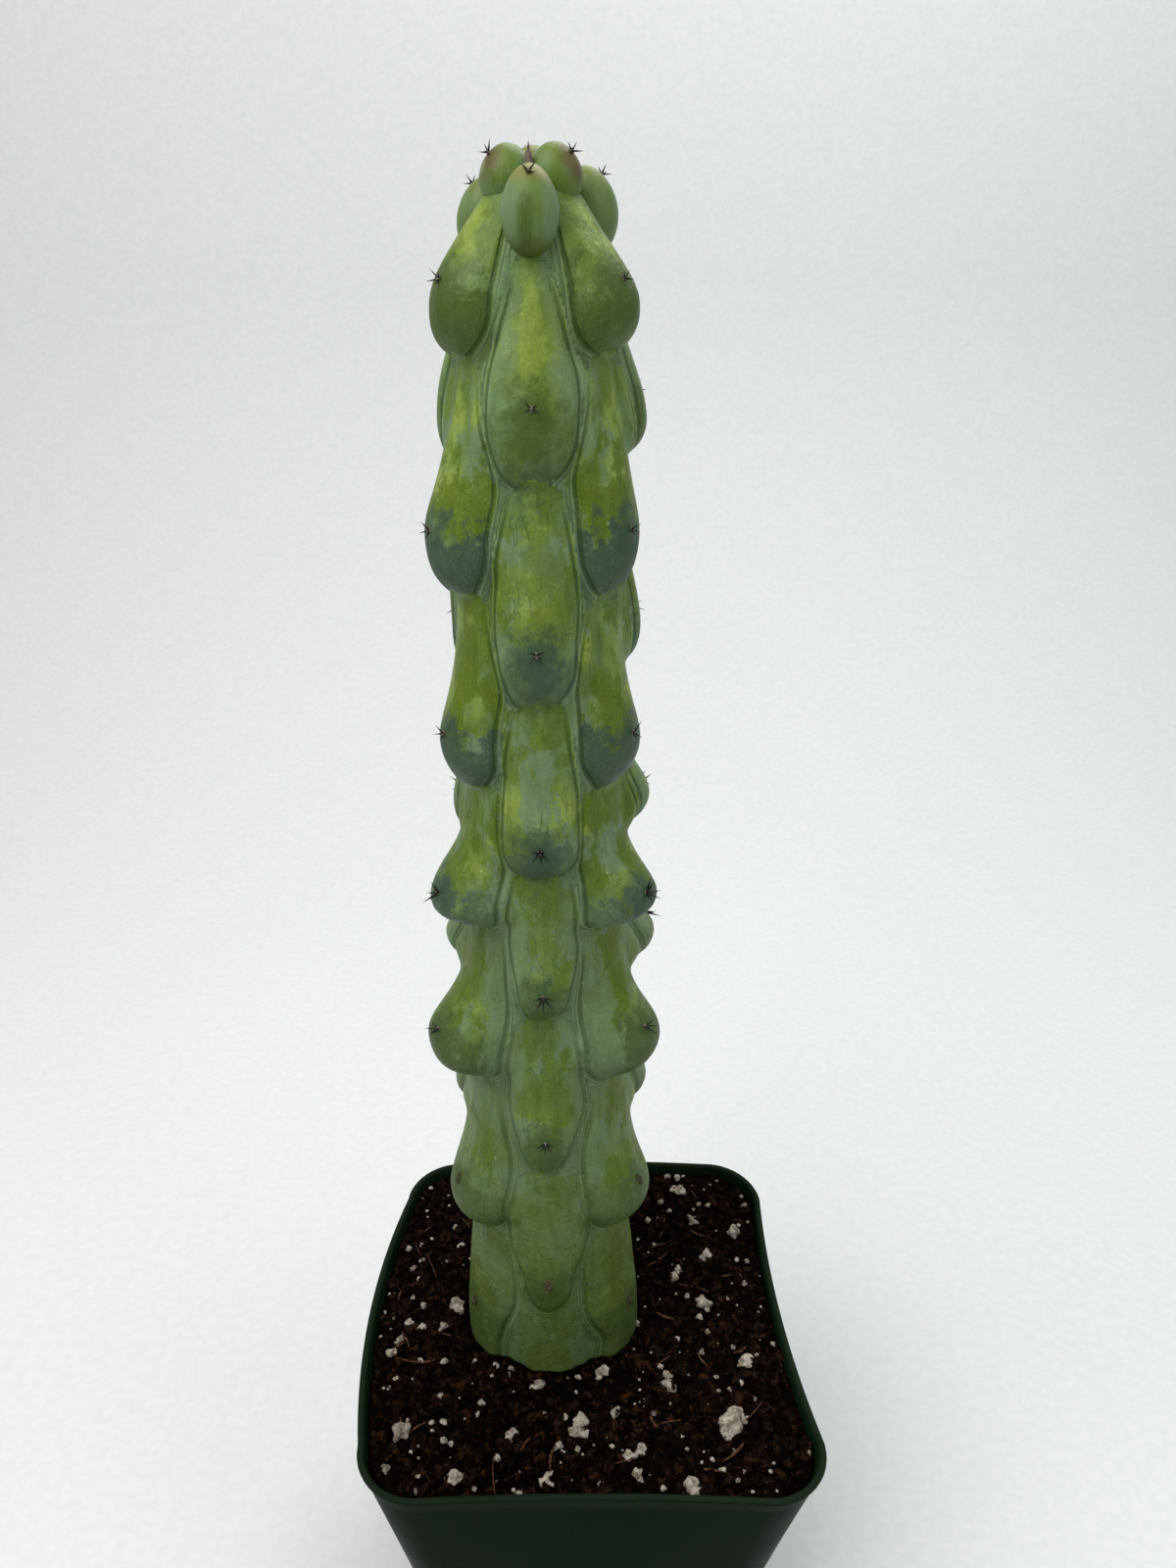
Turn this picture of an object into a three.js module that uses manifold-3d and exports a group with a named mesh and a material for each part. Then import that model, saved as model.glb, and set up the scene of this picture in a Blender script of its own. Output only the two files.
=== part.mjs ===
// A potted boobie cactus: a six-ribbed columnar stem with swollen bosses, in a filled square nursery pot.
// Millimetres, +Z up. The origin is the centre of the pot's base, on the surface it stands on.
// Angles round the stem are measured from the front (-Y) towards +X.
import * as THREE from "three";
import { mergeVertices } from "three/addons/utils/BufferGeometryUtils.js";
import Module from "manifold-3d";

const wasm = await Module();
wasm.setup();

// Driving dimensions of the pot
const POT_HEIGHT = 89;
const RIM_WIDTH = 100;
const BASE_WIDTH = 71;
const RIM_CORNER = 13.3;
const BASE_CORNER = 10;
const WALL = 1.2;
const FLOOR = 1.8;
const BEAD = 0.45;
const BASE_CHAMFER = 0.8;
const DRAIN_RADIUS = 4;
const DRAIN_OFFSET = 20;
const CORNER_STEPS = 5;
const SIDE_STEPS = 5;
const WALL_HEIGHTS = [22, 45, 66, 84];

// How far the soft rim has warped: each mid-side bows out (+) or in (-), the back is drawn in and aside
const WARP = { right: -2.4, back: 1.2, left: 3.8, front: -1.1 };
const WARP_TAPER = -0.042;
const WARP_SKEW = -1.3;
const WARP_DEPTH = 0.991;

// The soil
const SOIL_BELOW_RIM = 2.2;
const SOIL_RELIEF = 0.9;
const SOIL_FROM_WALL = 0.6;
const CLEARANCE = 0.35;
const GRAIN_COUNT = 44;
const GRAIN_SIZE = [1.0, 2.3];
const GRAIN_SINK = 0.15;
const GRAIN_FROM_STEM = 27;
const GRAIN_FROM_WALL = 5;

// Driving dimensions of the stem. Heights of the stem are above the rim, radii are from its own axis.
const STEM_AXIS = new THREE.Vector2(-8.8, 4.3);
const STEM_TOP = 253;
const STEM_FOOT = -28;
const TIP_ROUNDS_FROM = 232;
const RIB_RISE = 1.0;
const RIB_FADE = 14;
const EDGE_RISE = 0.5;
const WEB = 1.38;
const EVEN_EDGE = 0.83;
const ODD_EDGE = 1.06;
const EDGE_LOW = 0.93;
const COLUMNS = 48;
// Radius in the valleys between the ribs, from the buried foot to the tip
const CORE = [
  [-30, 15.6], [-12, 19.2], [0, 19.2], [20, 18.3], [45, 17.9], [67, 17.3], [104, 15.9],
  [138, 15.0], [174, 14.7], [204, 14.8], [216, 13.9], [228, 12.4], [240, 11.3], [253, 10.6],
];

// Bosses stand in whorls of three, on the even and the odd ribs in turn. Each whorl gives the height of its
// areoles, the heights of the boss's top, fullest point (crest) and bottom, how late it swells on the way
// down (lag), its half width in degrees with the share of it at the upper end (neck), how pointed (sharp)
// and how flat-topped (flat) its section is, and the rise of each of its three bosses. A boss spreads WEB
// times as wide as that, so that neighbours share a web of raised skin. Its outline runs at EVEN_EDGE or
// ODD_EDGE times its half width, drawn in to EDGE_LOW of that lower down. EDGE_RISE is the small step there.
function whorl(areole, [top, crest, bottom], lag, [wide, neck], [sharp, flat], rises) {
  return { areole, top, crest, bottom, lag, wide, neck, sharp, flat, rises };
}
const EVEN_RIBS = [0, 120, -120];
const ODD_RIBS = [60, -60, 180];
const EVEN_WHORLS = [
  whorl(218.4, [241.5, 214.8, 203.8], 1.15, [34, 0.38], [1.3, 2.6], [3.4, 5.3, 3.6]),
  whorl(177.4, [207.5, 175.2, 164.4], 1.7, [32, 0.6], [1.3, 2.5], [3.1, 4.3, 2.7]),
  whorl(138.2, [168.5, 137.8, 129.2], 2.3, [32, 0.58], [1.4, 2.4], [3.5, 7.0, 3.7]),
  whorl(104.8, [133.5, 104.2, 96.0], 3.2, [33, 0.65], [1.8, 2.4], [2.3, 8.2, 6.6]),
  whorl(67.2, [99.5, 65.2, 57.6], 3.6, [35, 0.65], [2.0, 2.2], [1.3, 5.4, 4.8]),
  whorl(25.6, [60.0, 25.0, 16.3], 3.4, [35, 0.7], [2.0, 2.0], [0.8, 1.3, 0.9]),
];
const ODD_WHORLS = [
  whorl(237.0, [250.5, 233.6, 223.9], 1.45, [33, 1.1], [1.1, 2.6], [5.4, 4.9, 4.8]),
  whorl(197.2, [226.5, 195.0, 183.5], 2.1, [32, 0.6], [1.3, 2.5], [3.0, 5.1, 4.3]),
  whorl(158.8, [187.5, 156.8, 146.0], 2.25, [32, 0.7], [1.3, 2.4], [4.1, 4.7, 4.4]),
  whorl(124.7, [150.0, 122.4, 115.2], 2.5, [32, 0.8], [1.7, 2.8], [7.8, 7.9, 7.0]),
  whorl(92.2, [118.5, 88.2, 77.0], 2.4, [33, 0.78], [1.8, 2.6], [8.3, 9.4, 8.0]),
  whorl(49.6, [80.5, 44.8, 35.8], 2.5, [32, 0.75], [1.7, 2.6], [5.5, 5.0, 5.0]),
  whorl(10.0, [40.0, 2.0, -22.0], 1.2, [34, 0.8], [1.0, 2.0], [2.1, 1.0, 1.4]),
];
// Upper bosses sag by up to DROOP, those under SAG_FROM not at all. A boss that rises less than SLIM_UNDER
// narrows at its lower end to the share SLIM of its width. Every outline opens over its uppermost OPENING
// share. Where an outline has widened and starts to narrow is told in shares of the way down to the crest.
const DROOP = 0.9;
const SAG_FROM = 90;
const SAG_SPAN = 100;
const SLIM_UNDER = 3;
const SLIM = 0.6;
const OPENING = 0.12;
const WIDENED_AT = 0.75;
const NARROWS_FROM = 0.6;
const NARROWS_OVER = 0.5;
const STEP_OPENING = 0.35;

// Waves that keep the outlines from running straight: size in degrees or millimetres, waves in a turn
// round the stem, waves in radians for each millimetre of height, and where the wave starts
const ASIDE_WAVES = [[1.0, 3, 0.21, 1], [0.7, 5, -0.34, 2]];
const UPRIGHT_WAVES = [[0.4, 4, 0.17, 0], [0.3, 7, -0.29, 1]];

// The youngest bosses, still egg-shaped, round the growing tip
const EGGS = [
  { angle: 0, reach: 10.2, height: 246.0, half: [4.6, 4.8, 6.8], lean: 12 },
  { angle: 120, reach: 10.7, height: 246.2, half: [4.6, 4.8, 6.8], lean: 12 },
  { angle: -120, reach: 9.4, height: 244.8, half: [4.6, 4.8, 6.8], lean: 12 },
  { angle: 60, reach: 4.2, height: 250.9, half: [4.6, 4.6, 5.1], lean: 0 },
  { angle: -60, reach: 4.4, height: 250.7, half: [4.6, 4.6, 5.1], lean: 0 },
  { angle: 180, reach: 4.2, height: 250.7, half: [4.6, 4.6, 5.1], lean: 0 },
];
const EGG_AREOLE_TURN = 45;
const TIP_SPINE = { aside: -0.3, reach: 4.7, bottom: 248.5, top: 256.1, radius: 0.65 };

// Areoles and spines
const CUSHION_RADIUS = 1.1;
const SPINE_RADIUS = 0.3;
const SPINE_ROOT = 0.9;
const SPINE_LENGTH = [2.0, 3.3];
const SPINE_TURNS = [-52, 52, -128, 128];
const SPINE_WANDER = 24;
const SPINE_LEAN = [44, 62];
const LOWEST_SPINY = 60;
// Spines are full-length up to this height, and shorten towards the tip to the share YOUNG_SPINES
const FULL_SPINES_TO = 100;
const SHORTENING_SPAN = 140;
const YOUNG_SPINES = 0.7;

const MATERIALS = {
  pot: new THREE.MeshStandardMaterial({ color: 0x1d2b20, roughness: 0.42, metalness: 0 }),
  soil: new THREE.MeshStandardMaterial({ color: 0x2a1a12, roughness: 0.95, metalness: 0 }),
  cactus: new THREE.MeshStandardMaterial({ color: 0x5f7d3a, roughness: 0.5, metalness: 0 }),
};

const radians = THREE.MathUtils.degToRad;
const { clamp, lerp } = THREE.MathUtils;

// A repeatable source of numbers from 0 to 1
function draws(seed) {
  let state = seed >>> 0;
  return () => {
    state = (Math.imul(state, 1664525) + 1013904223) >>> 0;
    return state / 4294967296;
  };
}

// A closed geometry as a solid that can be joined and cut
function toSolid(geometry) {
  const bare = new THREE.BufferGeometry();
  bare.setAttribute("position", geometry.getAttribute("position"));
  bare.setIndex(geometry.index);
  const merged = mergeVertices(bare, 1e-4);
  const triVerts = new Uint32Array(merged.index.array);
  const vertProperties = new Float32Array(merged.getAttribute("position").array);
  return new wasm.Manifold(new wasm.Mesh({ numProp: 3, vertProperties, triVerts }));
}

// A solid back as a geometry
function toGeometry(solid) {
  const mesh = solid.getMesh();
  const positions = new THREE.BufferAttribute(new Float32Array(mesh.vertProperties), 3);
  const geometry = new THREE.BufferGeometry().setAttribute("position", positions);
  geometry.setIndex(new THREE.BufferAttribute(new Uint32Array(mesh.triVerts), 1));
  geometry.computeVertexNormals();
  return geometry;
}

// A closed skin through a stack of rings of points, its first and last ring closed by a fan round a point.
// The rings run anticlockwise seen from the side that the stack grows towards.
function stackRings(rings, firstCentre, lastCentre) {
  const count = rings[0].length;
  const points = rings.flat();
  const index = [];
  for (let row = 0; row + 1 < rings.length; row++)
    for (let i = 0; i < count; i++) {
      const next = (i + 1) % count;
      const [a, b] = [row * count + i, row * count + next];
      const [c, d] = [a + count, b + count];
      index.push(a, b, d, a, d, c);
    }
  const last = (rings.length - 1) * count;
  for (let i = 0; i < count; i++) {
    const next = (i + 1) % count;
    index.push(points.length, next, i);
    index.push(points.length + 1, last + i, last + next);
  }
  const geometry = new THREE.BufferGeometry().setFromPoints([...points, firstCentre, lastCentre]);
  geometry.setIndex(index);
  return geometry;
}

// The pot's outline at a height, moved outwards by an offset. It runs anticlockwise seen from above.
function potRing(height, offset) {
  const share = clamp(height / POT_HEIGHT, 0, 1);
  const warp = share ** 2;
  const half = lerp(BASE_WIDTH, RIM_WIDTH, share) / 2 + offset;
  const radius = lerp(BASE_CORNER, RIM_CORNER, share) + offset;
  const flat = half - radius;
  const bows = [WARP.right, WARP.back, WARP.left, WARP.front];
  const ring = [];
  bows.forEach((bow, side) => {
    const turn = side * Math.PI / 2;
    const [nx, ny] = [Math.round(Math.cos(turn)), Math.round(Math.sin(turn))];
    for (let i = 1; i < SIDE_STEPS; i++) {
      const t = 2 * i / SIDE_STEPS - 1;
      const reach = half + warp * bow * (1 - t * t);
      ring.push([nx * reach - ny * t * flat, ny * reach + nx * t * flat]);
    }
    for (let i = 0; i <= CORNER_STEPS; i++) {
      const a = turn + (i / CORNER_STEPS) * Math.PI / 2;
      const [cx, cy] = [(nx - ny) * flat, (ny + nx) * flat];
      ring.push([cx + radius * Math.cos(a), cy + radius * Math.sin(a)]);
    }
  });
  return ring.map(([x, y]) => {
    const back = warp * y / (RIM_WIDTH / 2);
    const depth = lerp(1, WARP_DEPTH, warp);
    return new THREE.Vector3(x * (1 + WARP_TAPER * back) + WARP_SKEW * back, y * depth, height);
  });
}

// Thin-walled pot with a small bead along its rim and four drain holes in its floor
function buildPot() {
  const rings = [
    potRing(0, -BASE_CHAMFER),
    potRing(BASE_CHAMFER, 0),
    ...WALL_HEIGHTS.map((height) => potRing(height, 0)),
    potRing(POT_HEIGHT - 1.7, 0),
    potRing(POT_HEIGHT - 1.1, BEAD),
    potRing(POT_HEIGHT - 0.4, BEAD),
    potRing(POT_HEIGHT, -BEAD / 3),
    potRing(POT_HEIGHT - 0.3, -WALL),
    ...WALL_HEIGHTS.toReversed().map((height) => potRing(height, -WALL)),
    potRing(FLOOR, -WALL),
  ];
  const under = new THREE.Vector3(0, 0, 0);
  const inside = new THREE.Vector3(0, 0, FLOOR);
  let pot = toSolid(stackRings(rings, under, inside));
  for (const [sx, sy] of [[1, 1], [1, -1], [-1, 1], [-1, -1]]) {
    const drain = new THREE.CylinderGeometry(DRAIN_RADIUS, DRAIN_RADIUS, FLOOR * 4, 14);
    drain.rotateX(Math.PI / 2);
    drain.translate(sx * DRAIN_OFFSET, sy * DRAIN_OFFSET, 0);
    pot = pot.subtract(toSolid(drain));
  }
  return toGeometry(pot);
}

function smooth(value) {
  const x = clamp(value, 0, 1);
  return x * x * (3 - 2 * x);
}

// A smooth line through a few [height, value] points
function along(profile, height) {
  const slope = (i) => {
    const low = Math.max(i - 1, 0);
    const high = Math.min(i + 1, profile.length - 1);
    return (profile[high][1] - profile[low][1]) / (profile[high][0] - profile[low][0]);
  };
  const last = profile.length - 2;
  const found = profile.findIndex(([h]) => h >= height) - 1;
  const i = found < 0 ? (height <= profile[0][0] ? 0 : last) : Math.min(found, last);
  const [[h0, v0], [h1, v1]] = [profile[i], profile[i + 1]];
  const span = h1 - h0;
  const t = clamp((height - h0) / span, 0, 1);
  const [t2, t3] = [t * t, t * t * t];
  const start = (2 * t3 - 3 * t2 + 1) * v0 + (t3 - 2 * t2 + t) * span * slope(i);
  return start + (3 * t2 - 2 * t3) * v1 + (t3 - t2) * span * slope(i + 1);
}

// Every boss with the angle of its rib
const SETS = [[EVEN_RIBS, EVEN_WHORLS, EVEN_EDGE], [ODD_RIBS, ODD_WHORLS, ODD_EDGE]];
const BOSSES = SETS.flatMap(([ribs, whorls, edge]) =>
  whorls.flatMap((whorl) => ribs.map((rib, i) => ({ ...whorl, rib, edge, rise: whorl.rises[i] }))),
);

function waver(waves, angle, height) {
  let moved = 0;
  for (const [size, turns, climb, start] of waves)
    moved += size * Math.sin(turns * radians(angle) + climb * height + start);
  return moved;
}

// A boss's share of its rise at a place on the stem, and rho, the place's reach across the boss's
// outline, which is 1 on the outline. The outline runs straight down the sides and is round at the bottom.
// open grows from 0 at the boss's top to 1 where its outline shows in full.
function bossAt(boss, angle, height) {
  const t = (boss.top - height) / (boss.top - boss.bottom);
  if (t < 0) return { share: 0, rho: 2, open: 0 };
  const crest = (boss.top - boss.crest) / (boss.top - boss.bottom);
  const down = clamp(t / crest, 0, 1);
  const under = Math.max((t - crest) / (1 - crest), 0);
  const aside = Math.abs(((angle - boss.rib + 540) % 360) - 180);
  const slim = boss.rise < SLIM_UNDER ? SLIM : 1;
  const narrowing = lerp(1, slim, smooth((down - NARROWS_FROM) / NARROWS_OVER));
  const wide = boss.wide * lerp(boss.neck, 1, smooth(down / WIDENED_AT)) * narrowing;
  const head = 1 - smooth(t / OPENING);
  const edge = boss.edge * lerp(1, EDGE_LOW, smooth((down - NARROWS_FROM) / NARROWS_OVER));
  const rho = Math.hypot(aside / (wide * edge), under) + head;
  const spread = Math.hypot(aside / (wide * WEB), under) + head;
  const swell = Math.sin((Math.PI / 2) * down ** boss.lag) ** 2;
  const share = swell * (1 - Math.min(spread, 1) ** boss.flat) ** boss.sharp;
  return { share, rho, open: smooth(t / STEP_OPENING) };
}

// The stem's skin at an angle and a height above the rim, about the stem's own axis
function stemPoint(angle, height, grow = 0) {
  const close = clamp((height - TIP_ROUNDS_FROM) / (STEM_TOP - TIP_ROUNDS_FROM), 0, 1);
  const core = along(CORE, height) * Math.sqrt(1 - close ** 3);
  const wavyAngle = angle + waver(ASIDE_WAVES, angle, height);
  const wavyHeight = height + waver(UPRIGHT_WAVES, angle, height);
  let rise = 0;
  let drop = 0;
  let nearest = { rho: 2, open: 0 };
  for (const boss of BOSSES) {
    const found = bossAt(boss, wavyAngle, wavyHeight);
    rise += boss.rise * found.share;
    drop += DROOP * smooth((boss.areole - SAG_FROM) / SAG_SPAN) * found.share;
    if (found.rho < nearest.rho) nearest = found;
  }
  const valley = Math.abs(((angle + 390) % 60) - 30) / 30;
  const inside = nearest.open * smooth((1.03 - nearest.rho) / 0.2);
  const fade = smooth((STEM_TOP - height) / RIB_FADE);
  const rib = fade * (RIB_RISE * (1 - valley ** 2) + EDGE_RISE * inside);
  const reach = core + rib + rise + grow;
  const a = radians(angle);
  return new THREE.Vector3(reach * Math.sin(a), -reach * Math.cos(a), height - drop);
}

// Rows of the stem's skin zigzag, so that they run from areole to areole on the even and on the odd ribs.
// A step is the distance between two whorls, and steps are counted down from the first whorl.
const ROW_STEPS = [-0.8, -0.45, 0, 1, 2, 3, 4, 5, 6, 7, 7.3];
const areolesOf = (whorls) => whorls.map((whorl) => whorl.areole);
const EVEN_ROWS = [STEM_TOP, 250.5, 242, ...areolesOf(EVEN_WHORLS), -12, STEM_FOOT];
const ODD_ROWS = [STEM_TOP, 248, ...areolesOf(ODD_WHORLS), -18, STEM_FOOT];

function stemRow(step, grow = 0) {
  const i = clamp(ROW_STEPS.findIndex((s) => s >= step) - 1, 0, ROW_STEPS.length - 2);
  const t = (step - ROW_STEPS[i]) / (ROW_STEPS[i + 1] - ROW_STEPS[i]);
  const even = lerp(EVEN_ROWS[i], EVEN_ROWS[i + 1], t);
  const odd = lerp(ODD_ROWS[i], ODD_ROWS[i + 1], t);
  return Array.from({ length: COLUMNS }, (_, column) => {
    const angle = (column * 360) / COLUMNS;
    const share = 0.5 + 0.5 * Math.cos(radians(3 * angle));
    return stemPoint(angle, lerp(odd, even, share), grow);
  });
}

// Steps of the rows, closer where a boss turns under
const TIP_STEPS = [-0.79, -0.765, -0.72, -0.64, -0.52, -0.38, -0.24, -0.11];
const WHORL_STEPS = [0, 0.1, 0.19, 0.28, 0.4, 0.58, 0.79];
const FOOT_STEPS = [7, 7.15, 7.3];
// The first row of the hole that the soil leaves for the stem, and the height of the hole's closed end
const HOLE_STEP = 6.05;
const HOLE_TOP = 30;

function whorlSteps(first, last) {
  return Array.from({ length: last - first }, (_, k) => WHORL_STEPS.map((step) => first + k + step)).flat();
}

// Places a geometry from the stem's own axis and rim height into the part
function ontoStem(geometry) {
  return geometry.translate(STEM_AXIS.x, STEM_AXIS.y, POT_HEIGHT);
}

function stemSkin(steps, grow, topHeight) {
  const rings = steps.toReversed().map((step) => stemRow(step, grow));
  const foot = new THREE.Vector3(0, 0, STEM_FOOT - grow);
  if (grow > 0) rings[0].forEach((point) => point.setZ(foot.z));
  return ontoStem(stackRings(rings, foot, new THREE.Vector3(0, 0, topHeight)));
}

// Height of the soil's uneven top
function soilHeight(x, y) {
  const hollows = Math.sin(x * 0.31 + 1) * Math.sin(y * 0.27);
  const crumbs = Math.sin(x * 0.83 + y * 0.6) + Math.sin(y * 1.1 - x * 0.7);
  return POT_HEIGHT - SOIL_BELOW_RIM + SOIL_RELIEF * (0.5 * hollows + 0.25 * crumbs);
}

// Soil block with a crumbly top, perlite grains on it, and the hole that the stem stands in
function buildSoil() {
  const random = draws(41);
  const level = POT_HEIGHT - SOIL_BELOW_RIM;
  const inset = -(WALL + SOIL_FROM_WALL);
  const edge = potRing(level, inset);
  const centre = new THREE.Vector3(STEM_AXIS.x, STEM_AXIS.y, level);
  const shares = [1, 0.94, 0.86, 0.78, 0.7, 0.62, 0.54, 0.46, 0.34];
  const onTop = (point) => point.setZ(soilHeight(point.x, point.y));
  const top = shares.map((share) => edge.map((point) => onTop(centre.clone().lerp(point, share))));
  const sides = [FLOOR + CLEARANCE, ...WALL_HEIGHTS].map((height) => potRing(height, inset));
  const below = new THREE.Vector3(0, 0, FLOOR + CLEARANCE);
  let soil = toSolid(stackRings([...sides, ...top], below, centre));

  for (let i = 0; i < GRAIN_COUNT; i++) {
    const way = edge[Math.floor(random() * edge.length)].clone().sub(centre);
    const reach = lerp(GRAIN_FROM_STEM, way.length() - GRAIN_FROM_WALL, Math.sqrt(random()));
    const at = onTop(centre.clone().addScaledVector(way.normalize(), reach));
    const size = lerp(...GRAIN_SIZE, random() ** 2);
    const grain = new THREE.IcosahedronGeometry(size, 0);
    grain.scale(1, 0.75 + 0.5 * random(), 0.8);
    grain.rotateZ(random() * Math.PI);
    grain.translate(at.x, at.y, at.z - GRAIN_SINK * size);
    soil = soil.add(toSolid(grain));
  }
  const buried = [...whorlSteps(6, 7).filter((step) => step >= HOLE_STEP), ...FOOT_STEPS];
  return toGeometry(soil.subtract(toSolid(stemSkin(buried, CLEARANCE, HOLE_TOP))));
}

// Where an areole sits, and which ways are out of the skin and up along it
function areoleOn(boss) {
  const at = stemPoint(boss.rib, boss.areole);
  const up = stemPoint(boss.rib, boss.areole + 0.8).sub(at).normalize();
  const side = stemPoint(boss.rib + 1, boss.areole).sub(stemPoint(boss.rib - 1, boss.areole)).normalize();
  return { at, out: side.clone().cross(up).normalize(), up, side };
}

function areoleOnEgg(egg) {
  const turn = radians(EGG_AREOLE_TURN);
  const [, across, tall] = egg.half;
  const at = new THREE.Vector3(0, -across * Math.sin(turn), tall * Math.cos(turn));
  const out = new THREE.Vector3(0, -Math.sin(turn) / across, Math.cos(turn) / tall).normalize();
  const up = new THREE.Vector3(0, out.z, -out.y);
  const side = new THREE.Vector3(1, 0, 0);
  const lean = new THREE.Matrix4().makeRotationX(radians(-egg.lean));
  const place = new THREE.Matrix4().makeTranslation(0, -egg.reach, egg.height).multiply(lean);
  place.premultiply(new THREE.Matrix4().makeRotationZ(radians(egg.angle)));
  at.applyMatrix4(place);
  [out, up, side].forEach((way) => way.transformDirection(place));
  return { at, out, up, side };
}

function eggGeometry(egg) {
  const geometry = new THREE.SphereGeometry(1, 12, 8).rotateX(Math.PI / 2);
  geometry.scale(...egg.half).rotateX(radians(-egg.lean));
  return geometry.translate(0, -egg.reach, egg.height).rotateZ(radians(egg.angle));
}

// A three-sided spine from its root to its point
function spineGeometry(root, way, length, radius) {
  const geometry = new THREE.ConeGeometry(radius, length, 3);
  geometry.translate(0, length / 2, 0);
  geometry.applyQuaternion(new THREE.Quaternion().setFromUnitVectors(new THREE.Vector3(0, 1, 0), way));
  return geometry.translate(root.x, root.y, root.z);
}

// The share of their full length that spines have at a height
function spineShare(height) {
  if (height < LOWEST_SPINY) return 0;
  return lerp(1, YOUNG_SPINES, clamp((height - FULL_SPINES_TO) / SHORTENING_SPAN, 0, 1));
}

// The woolly cushion of an areole with its four spines, two leaning up and two leaning down
function areoleSolids({ at, out, up, side, share }, random) {
  const cushion = new THREE.IcosahedronGeometry(CUSHION_RADIUS, 0);
  cushion.scale(1, 1, 0.6);
  cushion.applyQuaternion(new THREE.Quaternion().setFromUnitVectors(new THREE.Vector3(0, 0, 1), out));
  const solids = [toSolid(ontoStem(cushion.translate(at.x, at.y, at.z)))];
  if (share === 0) return solids;
  for (const turn of SPINE_TURNS) {
    const angle = radians(turn + SPINE_WANDER * (random() - 0.5));
    const lean = radians(lerp(...SPINE_LEAN, random()));
    const length = share * lerp(...SPINE_LENGTH, random());
    const across = up.clone().multiplyScalar(Math.cos(angle)).addScaledVector(side, Math.sin(angle));
    const way = out.clone().multiplyScalar(Math.cos(lean)).addScaledVector(across, Math.sin(lean));
    const root = at.clone().addScaledVector(way, -SPINE_ROOT);
    solids.push(toSolid(ontoStem(spineGeometry(root, way, length + SPINE_ROOT, SPINE_RADIUS))));
  }
  return solids;
}

// The whole plant above its roots
function buildCactus() {
  const random = draws(7);
  let plant = toSolid(stemSkin([...TIP_STEPS, ...whorlSteps(0, 7), ...FOOT_STEPS], 0, STEM_TOP));
  EGGS.forEach((egg) => {
    plant = plant.add(toSolid(ontoStem(eggGeometry(egg))));
  });
  const tipLength = TIP_SPINE.top - TIP_SPINE.bottom;
  const tipRoot = new THREE.Vector3(TIP_SPINE.aside, -TIP_SPINE.reach, TIP_SPINE.bottom);
  const tip = spineGeometry(tipRoot, new THREE.Vector3(0, 0, 1), tipLength, TIP_SPINE.radius);
  plant = plant.add(toSolid(ontoStem(tip)));
  const places = [
    ...EGGS.map((egg) => ({ ...areoleOnEgg(egg), share: spineShare(egg.height) })),
    ...BOSSES.map((boss) => ({ ...areoleOn(boss), share: spineShare(boss.areole) })),
  ];
  for (const place of places)
    for (const solid of areoleSolids(place, random)) plant = plant.add(solid);
  return toGeometry(plant);
}

const part = new THREE.Group();
const pieces = { pot: buildPot(), soil: buildSoil(), cactus: buildCactus() };
for (const [name, geometry] of Object.entries(pieces)) {
  const mesh = new THREE.Mesh(geometry, MATERIALS[name]);
  mesh.name = name;
  part.add(mesh);
}

export default part;
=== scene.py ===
"""A potted boobie cactus, dressed for a studio picture.

The plant stands in a square nursery pot filled with peat mix. Sizes are in millimetres unless a name says
otherwise, in the frame's own axes: +Z up, -Y to the front, origin under the middle of the pot. Angles round
the stem are in degrees from the front towards +X, and heights on the stem are above the pot's rim.
"""

import logging
import math
from collections.abc import Callable, Sequence
from dataclasses import dataclass, field
from enum import Enum

import bpy
import numpy as np
from mathutils import Matrix, Vector, noise

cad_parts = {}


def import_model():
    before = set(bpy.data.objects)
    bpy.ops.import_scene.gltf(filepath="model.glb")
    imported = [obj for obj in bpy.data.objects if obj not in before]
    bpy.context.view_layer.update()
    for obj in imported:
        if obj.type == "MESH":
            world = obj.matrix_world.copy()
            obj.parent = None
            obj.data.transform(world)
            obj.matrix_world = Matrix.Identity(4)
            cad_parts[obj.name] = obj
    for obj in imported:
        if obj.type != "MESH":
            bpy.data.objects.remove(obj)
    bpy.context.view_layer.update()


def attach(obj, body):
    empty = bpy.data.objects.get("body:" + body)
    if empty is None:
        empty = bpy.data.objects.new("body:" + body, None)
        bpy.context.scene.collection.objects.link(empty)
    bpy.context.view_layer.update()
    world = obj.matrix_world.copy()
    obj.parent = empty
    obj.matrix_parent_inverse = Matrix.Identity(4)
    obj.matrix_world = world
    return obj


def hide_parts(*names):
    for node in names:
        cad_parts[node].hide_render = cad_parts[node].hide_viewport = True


log = logging.getLogger("potted_cactus")
Socket = bpy.types.NodeSocket

MM = 0.001
BODY = "root"
RIM_HEIGHT = 89.0
# The stem's axis at the rim: across, and towards the back
STEM_AXIS = (-8.8, 4.3)
STEM_ORIGIN = Vector((*STEM_AXIS, RIM_HEIGHT))


class Slot(Enum):
    """The record's material slots."""

    POT = "pot"
    SOIL = "soil"
    CACTUS = "cactus"


def smooth(value: np.ndarray | float) -> np.ndarray:
    """Smooth step from 0 to 1 over the values from 0 to 1."""
    x = np.clip(value, 0.0, 1.0)
    return x * x * (3.0 - 2.0 * x)


def lerp(a: float, b: float, t: float | np.ndarray) -> float | np.ndarray:
    """The value a share t of the way from a to b."""
    return a + (b - a) * t


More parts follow.
